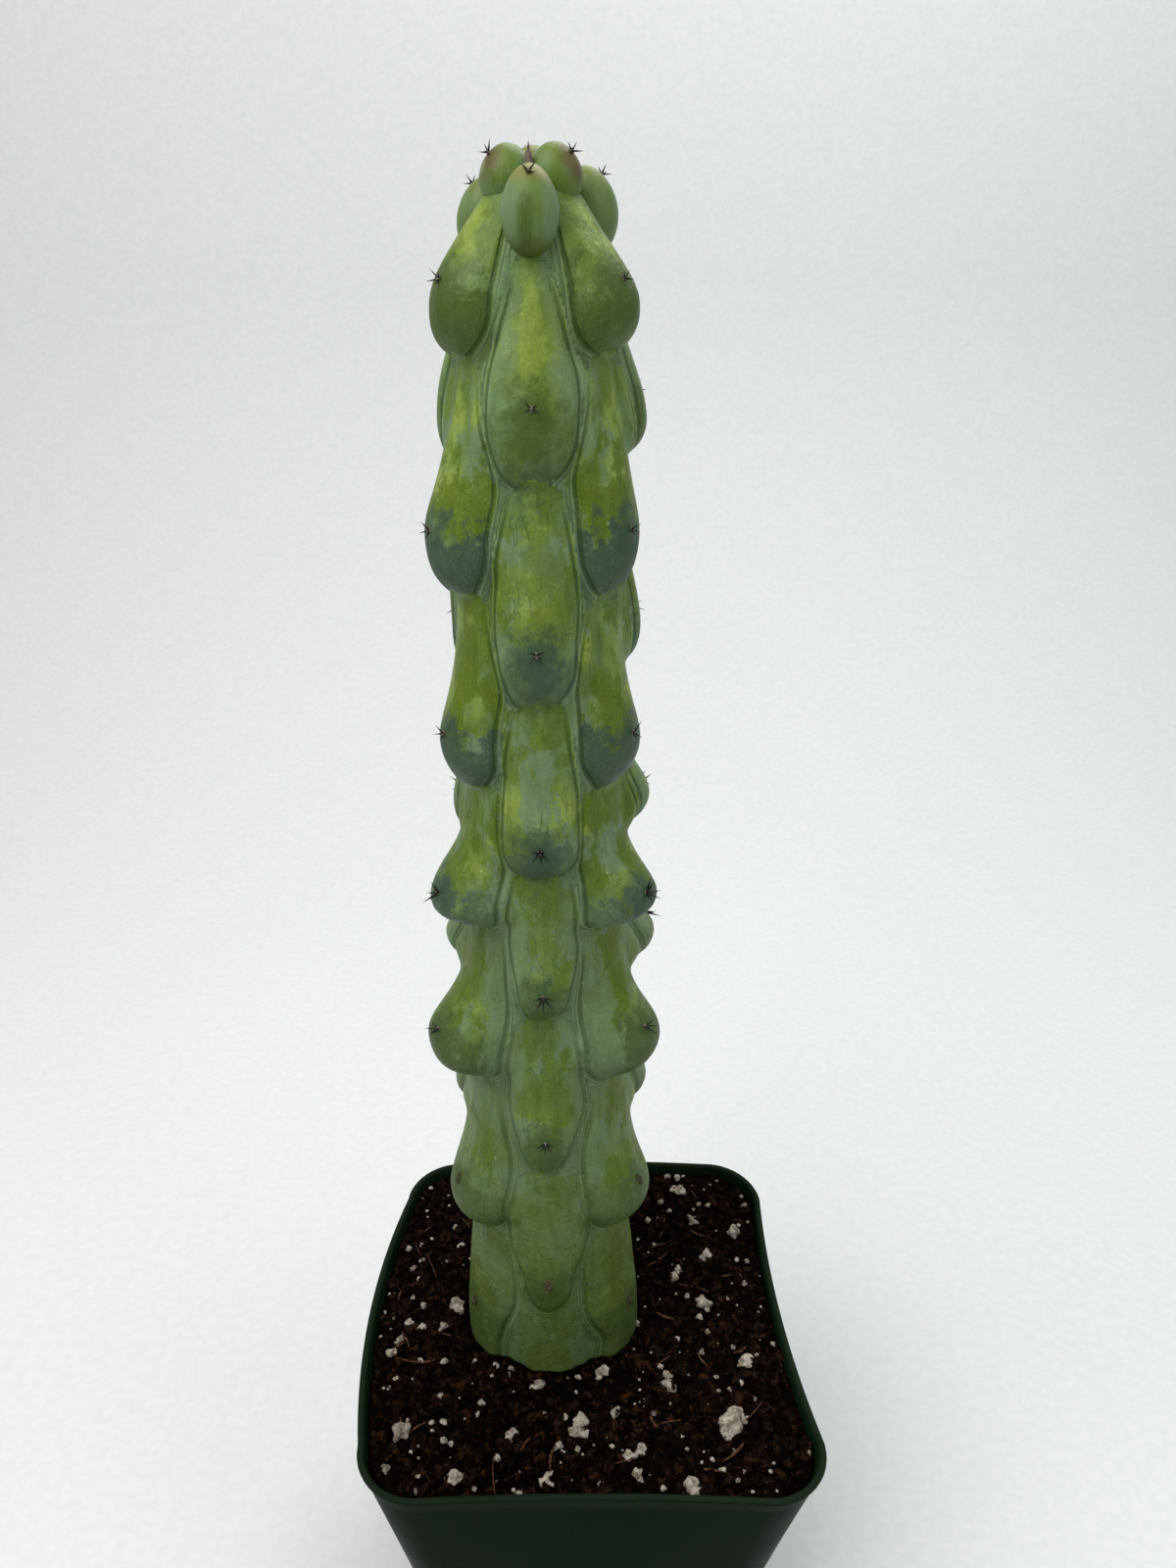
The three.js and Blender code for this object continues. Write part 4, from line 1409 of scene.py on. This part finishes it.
@dataclass
class Pot:
    """A thin square nursery pot with a beaded rim that has warped a little, and drain holes in its floor."""

    height: float = RIM_HEIGHT
    rim_width: float = 100.0
    base_width: float = 71.0
    rim_corner: float = 13.3
    base_corner: float = 10.0
    wall: float = 1.2
    floor: float = 1.8
    bead: float = 0.45
    base_chamfer: float = 0.8
    drain_radius: float = 4.0
    drain_offset: float = 20.0
    side_steps: int = 22
    corner_steps: int = 12
    # How far the rim bows out on the right, at the back, on the left and in front
    bows: tuple[float, float, float, float] = (-2.4, 1.2, 3.8, -1.1)
    # How much narrower and how far aside the rim is at the back, and the share of its depth that is left
    taper: float = -0.042
    skew: float = -1.3
    depth: float = 0.991

    def ring(self, height: float, offset: float) -> np.ndarray:
        """The pot's outline at a height, anticlockwise seen from above.

        Args:
            height: The height.
            offset: How far outwards the outline is moved.

        Returns:
            The points.
        """
        share = min(max(height / self.height, 0.0), 1.0)
        warp = share**2
        half = lerp(self.base_width, self.rim_width, share) / 2 + offset
        radius = lerp(self.base_corner, self.rim_corner, share) + offset
        flat = half - radius
        points = []
        for side, bow in enumerate(self.bows):
            nx, ny = ((1, 0), (0, 1), (-1, 0), (0, -1))[side]
            for i in range(1, self.side_steps):
                t = 2 * i / self.side_steps - 1
                reach = half + warp * bow * (1 - t * t)
                points.append((nx * reach - ny * t * flat, ny * reach + nx * t * flat))
            for i in range(self.corner_steps + 1):
                a = (side + i / self.corner_steps) * math.pi / 2
                cx, cy = (nx - ny) * flat, (ny + nx) * flat
                points.append((cx + radius * math.cos(a), cy + radius * math.sin(a)))
        out = []
        for x, y in points:
            back = warp * y / (self.rim_width / 2)
            across = x * (1 + self.taper * back) + self.skew * back
            out.append((across, y * lerp(1, self.depth, warp), height))
        return np.array(out)

    def build(self) -> None:
        """Builds and dresses the pot."""
        walls = [3, 8, 15, 22, 30, 38, 45, 52, 59, 66, 72, 78, 84]
        # Height, offset outwards and how pale it is, from wear and from a painted highlight along the rim's
        # top, from the base up over the rim and down to the floor
        steps = [(0, -self.base_chamfer, 0), (0.25, -0.3, 0), (self.base_chamfer, 0, 0)]
        steps += [(height, 0, 0) for height in walls]
        bead = [
            (-1.75, 0, 0), (-1.5, 0.2, 0.1), (-1.1, self.bead, 0.15), (-0.6, self.bead, 0.3), (-0.2, 0.28, 1),
            (0, -0.15, 1), (-0.03, -0.6, 0.8), (-0.2, -1.0, 0.4), (-0.6, -self.wall, 0),
        ]
        steps += [(self.height + down, offset, worn) for down, offset, worn in bead]
        steps += [(height, -self.wall, 0) for height in (*reversed(walls), self.floor)]
        rings = [self.ring(height, offset) for height, offset, _ in steps]
        rim_wear_and_highlight = [worn for _, _, worn in steps]
        columns = len(rings[0])
        first = np.zeros((columns, 3))
        last = np.tile([0, 0, self.floor], (columns, 1))
        stack = np.stack([first, *rings, last])
        marks = {"rim": np.tile(np.array([0, *rim_wear_and_highlight, 0])[:, None], (1, columns))}
        pot = wrapped("pot_shell", stack, marks, 40)
        self.drill(pot)
        settle(pot, PotPlastic().material(), Slot.POT, "pot")

    def drill(self, pot: bpy.types.Object) -> None:
        """Cuts the drain holes."""
        for sx, sy in ((1, 1), (1, -1), (-1, 1), (-1, -1)):
            at = (sx * self.drain_offset * MM, sy * self.drain_offset * MM, 0)
            rod = bpy.ops.mesh.primitive_cylinder_add
            radius, depth = self.drain_radius * MM, self.floor * 4 * MM
            bit = primitive("drain_bit", rod, vertices=36, radius=radius, depth=depth, location=at)
            select_only(pot)
            cut = pot.modifiers.new("drain", "BOOLEAN")
            cut.operation, cut.solver, cut.object = "DIFFERENCE", "EXACT", bit
            bpy.ops.object.modifier_apply(modifier=cut.name)
            bpy.data.objects.remove(bit)
        bpy.ops.object.shade_smooth_by_angle(angle=math.radians(40))


@dataclass
class Bed:
    """The peat mix in the pot, with its crumbs, perlite and shreds of bark."""

    pot: Pot
    form: StemForm
    below_rim: float = 2.2
    relief: float = 0.9
    from_wall: float = 0.6
    # The gap to the stem and to the pot's floor
    clearance: float = 0.35
    # Rows of points from the stem to the wall, down the sides, and in the hole from its foot up
    top_rows: int = 62
    side_heights: tuple[float, ...] = (80, 66, 45, 22)
    hole_heights: tuple[float, ...] = (-26, -20, -13, -7, -2)
    crumb_count: int = 1500
    grit_count: int = 260
    fibre_count: int = 46
    # Half the width that things are strewn over, and the stem's radius at the mix with a gap
    strewn_half: float = 52.0
    stem_radius: float = 21.4
    # The larger perlite grains: across, towards the back, and size
    large_grains: tuple[tuple[float, float, float], ...] = (
        (-28.8, -42.6, 1.6), (-42.3, -31.8, 2.2), (-2.0, -31.5, 2.3), (-1.2, -29.2, 1.7), (32.7, -30.6, 2.5),
        (34.6, -28.4, 2.0), (-8.9, -43.7, 1.7), (-8.4, -41.6, 1.1), (22.6, -45.0, 1.9), (10.9, -42.2, 1.5),
        (9.5, -37.6, 1.6), (11.8, -36.4, 1.2), (37.8, -13.8, 2.1), (19.3, -20.4, 1.9), (19.0, -17.5, 1.3),
        (3.7, -16.7, 1.6), (-11.6, -19.6, 1.7), (-17.0, -32.5, 1.6), (6.5, -27.4, 1.3), (-32.9, 2.3, 2.0),
        (-35.5, -3.5, 1.5), (25.6, 41.3, 1.7), (28.4, 30.4, 1.8), (39.4, 25.9, 1.7), (31.2, 17.6, 1.5),
        (29.2, 2.9, 1.9), (22.5, 11.2, 1.4), (-47.2, -11.1, 1.3),
    )

    def ground(self, x: float, y: float) -> float:
        """The height of the bed's top at a place."""
        hollows = math.sin(x * 0.31 + 1) * math.sin(y * 0.27)
        crumbs = math.sin(x * 0.83 + y * 0.6) + math.sin(y * 1.1 - x * 0.7)
        level = self.pot.height - self.below_rim + self.relief * (0.5 * hollows + 0.25 * crumbs)
        fine = noise.noise(Vector((x * 0.45, y * 0.45, 3))) * 0.5
        finer = noise.noise(Vector((x * 1.1, y * 1.1, 8))) * 0.35
        return level + (fine + finer)

    def hole(self, height: float, angles: np.ndarray) -> np.ndarray:
        """The hole that the stem stands in, at one height above the rim.

        Args:
            height: The height.
            angles: Angles round the stem's axis.

        Returns:
            The points.
        """
        skin = self.form.skin(angles, np.full(len(angles), height))
        reach = np.hypot(skin.points[:, 0], skin.points[:, 1]) + self.clearance
        a = np.radians(angles)
        x, y = reach * np.sin(a) + STEM_AXIS[0], -reach * np.cos(a) + STEM_AXIS[1]
        return np.column_stack([x, y, np.full(len(angles), RIM_HEIGHT + height)])

    def build(self) -> None:
        """Builds and dresses the bed and what lies in it."""
        settle(self.bed(), PeatMix().material(), Slot.SOIL, "soil")
        loose = PeatMix(name="peat_crumbs", wet="#120a06", dry="#332015")
        settle(self.crumbs(), loose.material(), Slot.SOIL)
        settle(self.grains(), Perlite().material(), Slot.SOIL)
        settle(self.fibres(), BarkFibre().material(), Slot.SOIL)

    def bed(self) -> bpy.types.Object:
        """The block of peat mix: its crumbly top, its sides, its underside and the hole for the stem.

        Returns:
            The piece.
        """
        inset = -(self.pot.wall + self.from_wall)
        edge = self.pot.ring(self.pot.height - self.below_rim, inset)
        angles = np.degrees(np.arctan2(edge[:, 0] - STEM_AXIS[0], -(edge[:, 1] - STEM_AXIS[1])))
        *well, inner = (self.hole(height, angles) for height in self.hole_heights)
        rings = []
        for share in np.linspace(0, 1, self.top_rows):
            ring = inner + (edge - inner) * share
            ring[:, 2] = [self.ground(x, y) for x, y, _ in ring]
            rings.append(ring)
        bottom = self.pot.floor + self.clearance
        rings += [self.pot.ring(height, inset) for height in (*self.side_heights, bottom)]
        foot = RIM_HEIGHT + self.form.foot - self.clearance
        centre = np.tile([*STEM_AXIS, foot], (len(edge), 1))
        under = np.tile([*STEM_AXIS, bottom], (len(edge), 1))
        pit_floor = well[0].copy()
        pit_floor[:, 2] = foot
        return wrapped("soil_bed", np.stack([centre, pit_floor, *well, *rings, under]), {}, 50)

    def free_places(self, count: int, margin: float, draws: Draws) -> list[tuple[float, float]]:
        """Places on the bed, clear of the stem and of the wall.

        Args:
            count: How many.
            margin: How far from the stem and the wall.
            draws: The source of the numbers.

        Returns:
            The places.
        """
        edge = self.pot.ring(self.pot.height - self.below_rim, -(self.pot.wall + margin))[:, :2]
        edge_turn = np.unwrap(np.arctan2(edge[:, 1], edge[:, 0]))
        edge_reach = np.hypot(edge[:, 0], edge[:, 1])
        found = []
        while len(found) < count:
            x, y = (draws.between(-self.strewn_half, self.strewn_half) for _ in range(2))
            turn = math.atan2(y, x)
            best = int(np.argmin(np.abs((edge_turn - turn + math.pi) % (2 * math.pi) - math.pi)))
            if math.hypot(x, y) > edge_reach[best] - 0.3:
                continue
            if math.hypot(x - STEM_AXIS[0], y - STEM_AXIS[1]) < self.stem_radius + margin:
                continue
            found.append((x, y))
        return found

    def strewn(
        self, places: Sequence[tuple[float, float, float]], kinds: int, sink: float, draws: Draws
    ) -> list[tuple[int, Matrix]]:
        """Placings for lumps that lie on the bed.

        Args:
            places: Across, towards the back, and size.
            kinds: How many models there are.
            sink: How deep each sits, as a share of its size.
            draws: The source of the numbers.

        Returns:
            Which model, and its matrix, for each place.
        """
        placed = []
        for x, y, size in places:
            turn = Matrix.Rotation(draws.between(0, math.tau), 4, "Z")
            tip = Matrix.Rotation(draws.between(-1, 1), 4, "X")
            deep, tall = size * draws.between(0.65, 1.1), size * draws.between(0.6, 0.9)
            at = Matrix.Translation((x, y, self.ground(x, y) - sink * size))
            which = int(draws.next() * kinds) % kinds
            placed.append((which, at @ turn @ tip @ Matrix.Diagonal((size, deep, tall, 1.0))))
        return placed

    def crumbs(self) -> bpy.types.Object:
        """The loose crumbs of peat and bark."""
        draws = Draws(17)
        free = self.free_places(self.crumb_count, 0.9, draws)
        spots = [(x, y, 0.35 + 1.3 * draws.next() ** 3) for x, y in free]
        models = [lump(f"crumb_{i}", fineness=2, roughen=0.5, seed=i) for i in range(3)]
        return copies("peat_crumbs", models, self.strewn(spots, 3, 0.1, draws), {}, smooth_faces=False)

    def grains(self) -> bpy.types.Object:
        """The perlite grains, the larger ones in their own places."""
        draws = Draws(23)
        free = self.free_places(self.grit_count, 0.9, draws)
        spots = [(x, y, 0.3 + 0.75 * draws.next() ** 2) for x, y in free]
        dirt = [draws.between(0.2, 1.0) for _ in (*self.large_grains, *spots)]
        models = [lump(f"grain_{i}", 3 if i < 3 else 2, roughen=0.4, seed=i + 11) for i in range(5)]
        large = self.strewn(self.large_grains, 3, 0.05, draws)
        small = [(which + 3, matrix) for which, matrix in self.strewn(spots, 2, 0.0, draws)]
        return copies("perlite_grains", models, [*large, *small], {"dirt": dirt})

    def fibres(self) -> bpy.types.Object:
        """The shreds of bark and root that lie on the mix.

        Returns:
            The piece.
        """
        model = cut_rod("shred", (0.15, 0.35, 0.55, 0.75, 0.9))
        points = points_of(model)
        # The rod narrows to both ends and bends
        along = points[:, 2] + 0.5
        points[:, :2] *= (0.35 + 0.65 * np.sin(np.pi * np.clip(along, 0.04, 0.96)))[:, None]
        points[:, 0] += 1.6 * np.sin(along * 3.0)
        set_points(model, points)
        draws, placed = Draws(37), []
        for x, y in self.free_places(self.fibre_count, 4.0, draws):
            length, thick = draws.between(3, 9), draws.between(0.14, 0.4)
            lie = Matrix.Rotation(draws.between(0, math.tau), 4, "Z")
            tip = Matrix.Rotation(math.radians(draws.between(82, 96)), 4, "X")
            at = Vector((x, y, self.ground(x, y) + 0.35))
            size = Matrix.Diagonal((thick, thick * 0.7, length, 1.0))
            placed.append((0, Matrix.Translation(at) @ lie @ tip @ size))
        return copies("bark_shreds", [model], placed, {})


# The studio


@dataclass
class Studio:
    """A pale sweep of paper, soft lamps and the camera."""

    lens: float = 27.0
    camera_at: tuple[float, float, float] = (0.2, -208.7, 333.3)
    camera_tilt: float = 64.5
    sweep_half_width: float = 1400.0
    sweep_front: float = -700.0
    sweep_back: float = 620.0
    sweep_radius: float = 300.0
    sweep_height: float = 1500.0
    lit_height: float = 190.0

    def build(self) -> None:
        """Sets the stage."""
        self.sweep()
        self.lamp("key", (-360, -300, 900), 620, 6.0, (255, 250, 243))
        self.lamp("fill", (620, -300, 620), 620, 1.6, (240, 246, 255))
        self.lamp("back", (150, 420, 850), 520, 3.0, (255, 255, 255))
        world = bpy.data.worlds.new("studio_air")
        world.use_nodes = True
        air = world.node_tree.nodes["Background"]
        air.inputs["Color"].default_value = (0.86, 0.9, 0.92, 1)
        air.inputs["Strength"].default_value = 0.32
        bpy.context.scene.world = world
        self.camera()

    def sweep(self) -> None:
        """The paper: a floor that curves up into a wall behind."""
        profile = [(self.sweep_front, 0.0), (0.0, 0.0), (self.sweep_back - self.sweep_radius, 0.0)]
        for i in range(1, 17):
            a = i / 16 * math.pi / 2
            y = self.sweep_back - self.sweep_radius + self.sweep_radius * math.sin(a)
            profile.append((y, self.sweep_radius * (1 - math.cos(a))))
        profile.append((self.sweep_back, self.sweep_height))
        grid, rows = bpy.ops.mesh.primitive_grid_add, len(profile) - 1
        paper = primitive("paper_sweep", grid, x_subdivisions=2, y_subdivisions=rows, size=1.0)
        points = points_of(paper) * MM
        row = np.rint((points[:, 1] + 0.5) * rows).astype(int)
        bend = np.array(profile)[row]
        set_points(paper, np.column_stack([points[:, 0] * 2 * self.sweep_half_width, bend]))
        bpy.ops.object.shade_smooth()
        paper.data.materials.append(StudioPaper().material())

    def lamp(self, name: str, at: Sequence[float], size: float, watts: float, tint: Sequence[int]) -> None:
        """Adds a soft square lamp that faces the plant.

        Args:
            name: The lamp's name.
            at: Its place.
            size: Its width.
            watts: Its power.
            tint: Its colour, in steps of 255.
        """
        light = bpy.data.lights.new(name, "AREA")
        light.energy, light.size = watts, size * MM
        light.color = [c / 255 for c in tint]
        lamp = bpy.data.objects.new(name, light)
        lamp.location = Vector(at) * MM
        aim = Vector((*STEM_AXIS, self.lit_height)) * MM - lamp.location
        lamp.rotation_euler = aim.to_track_quat("-Z", "Y").to_euler()
        bpy.context.scene.collection.objects.link(lamp)

    def camera(self) -> None:
        """Adds the camera at the photograph's angle."""
        camera = bpy.data.cameras.new("camera")
        camera.lens, camera.sensor_fit, camera.sensor_height = self.lens, "VERTICAL", 36.0
        camera.clip_start, camera.clip_end = 0.01, 10.0
        eye = bpy.data.objects.new("camera", camera)
        eye.location = Vector(self.camera_at) * MM
        eye.rotation_euler = (math.radians(self.camera_tilt), 0, 0)
        bpy.context.scene.collection.objects.link(eye)
        bpy.context.scene.camera = eye


def main() -> None:
    """Builds the studio, the pot, its bed and the plant."""
    logging.basicConfig(level=logging.INFO, format="%(name)s %(message)s")
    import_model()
    bpy.context.scene.view_settings.view_transform = "Standard"
    Studio().build()
    stem = Stem()
    pot = Pot()
    pot.build()
    Bed(pot, stem.form).build()
    stem.build()


if __name__ == "__main__":
    main()
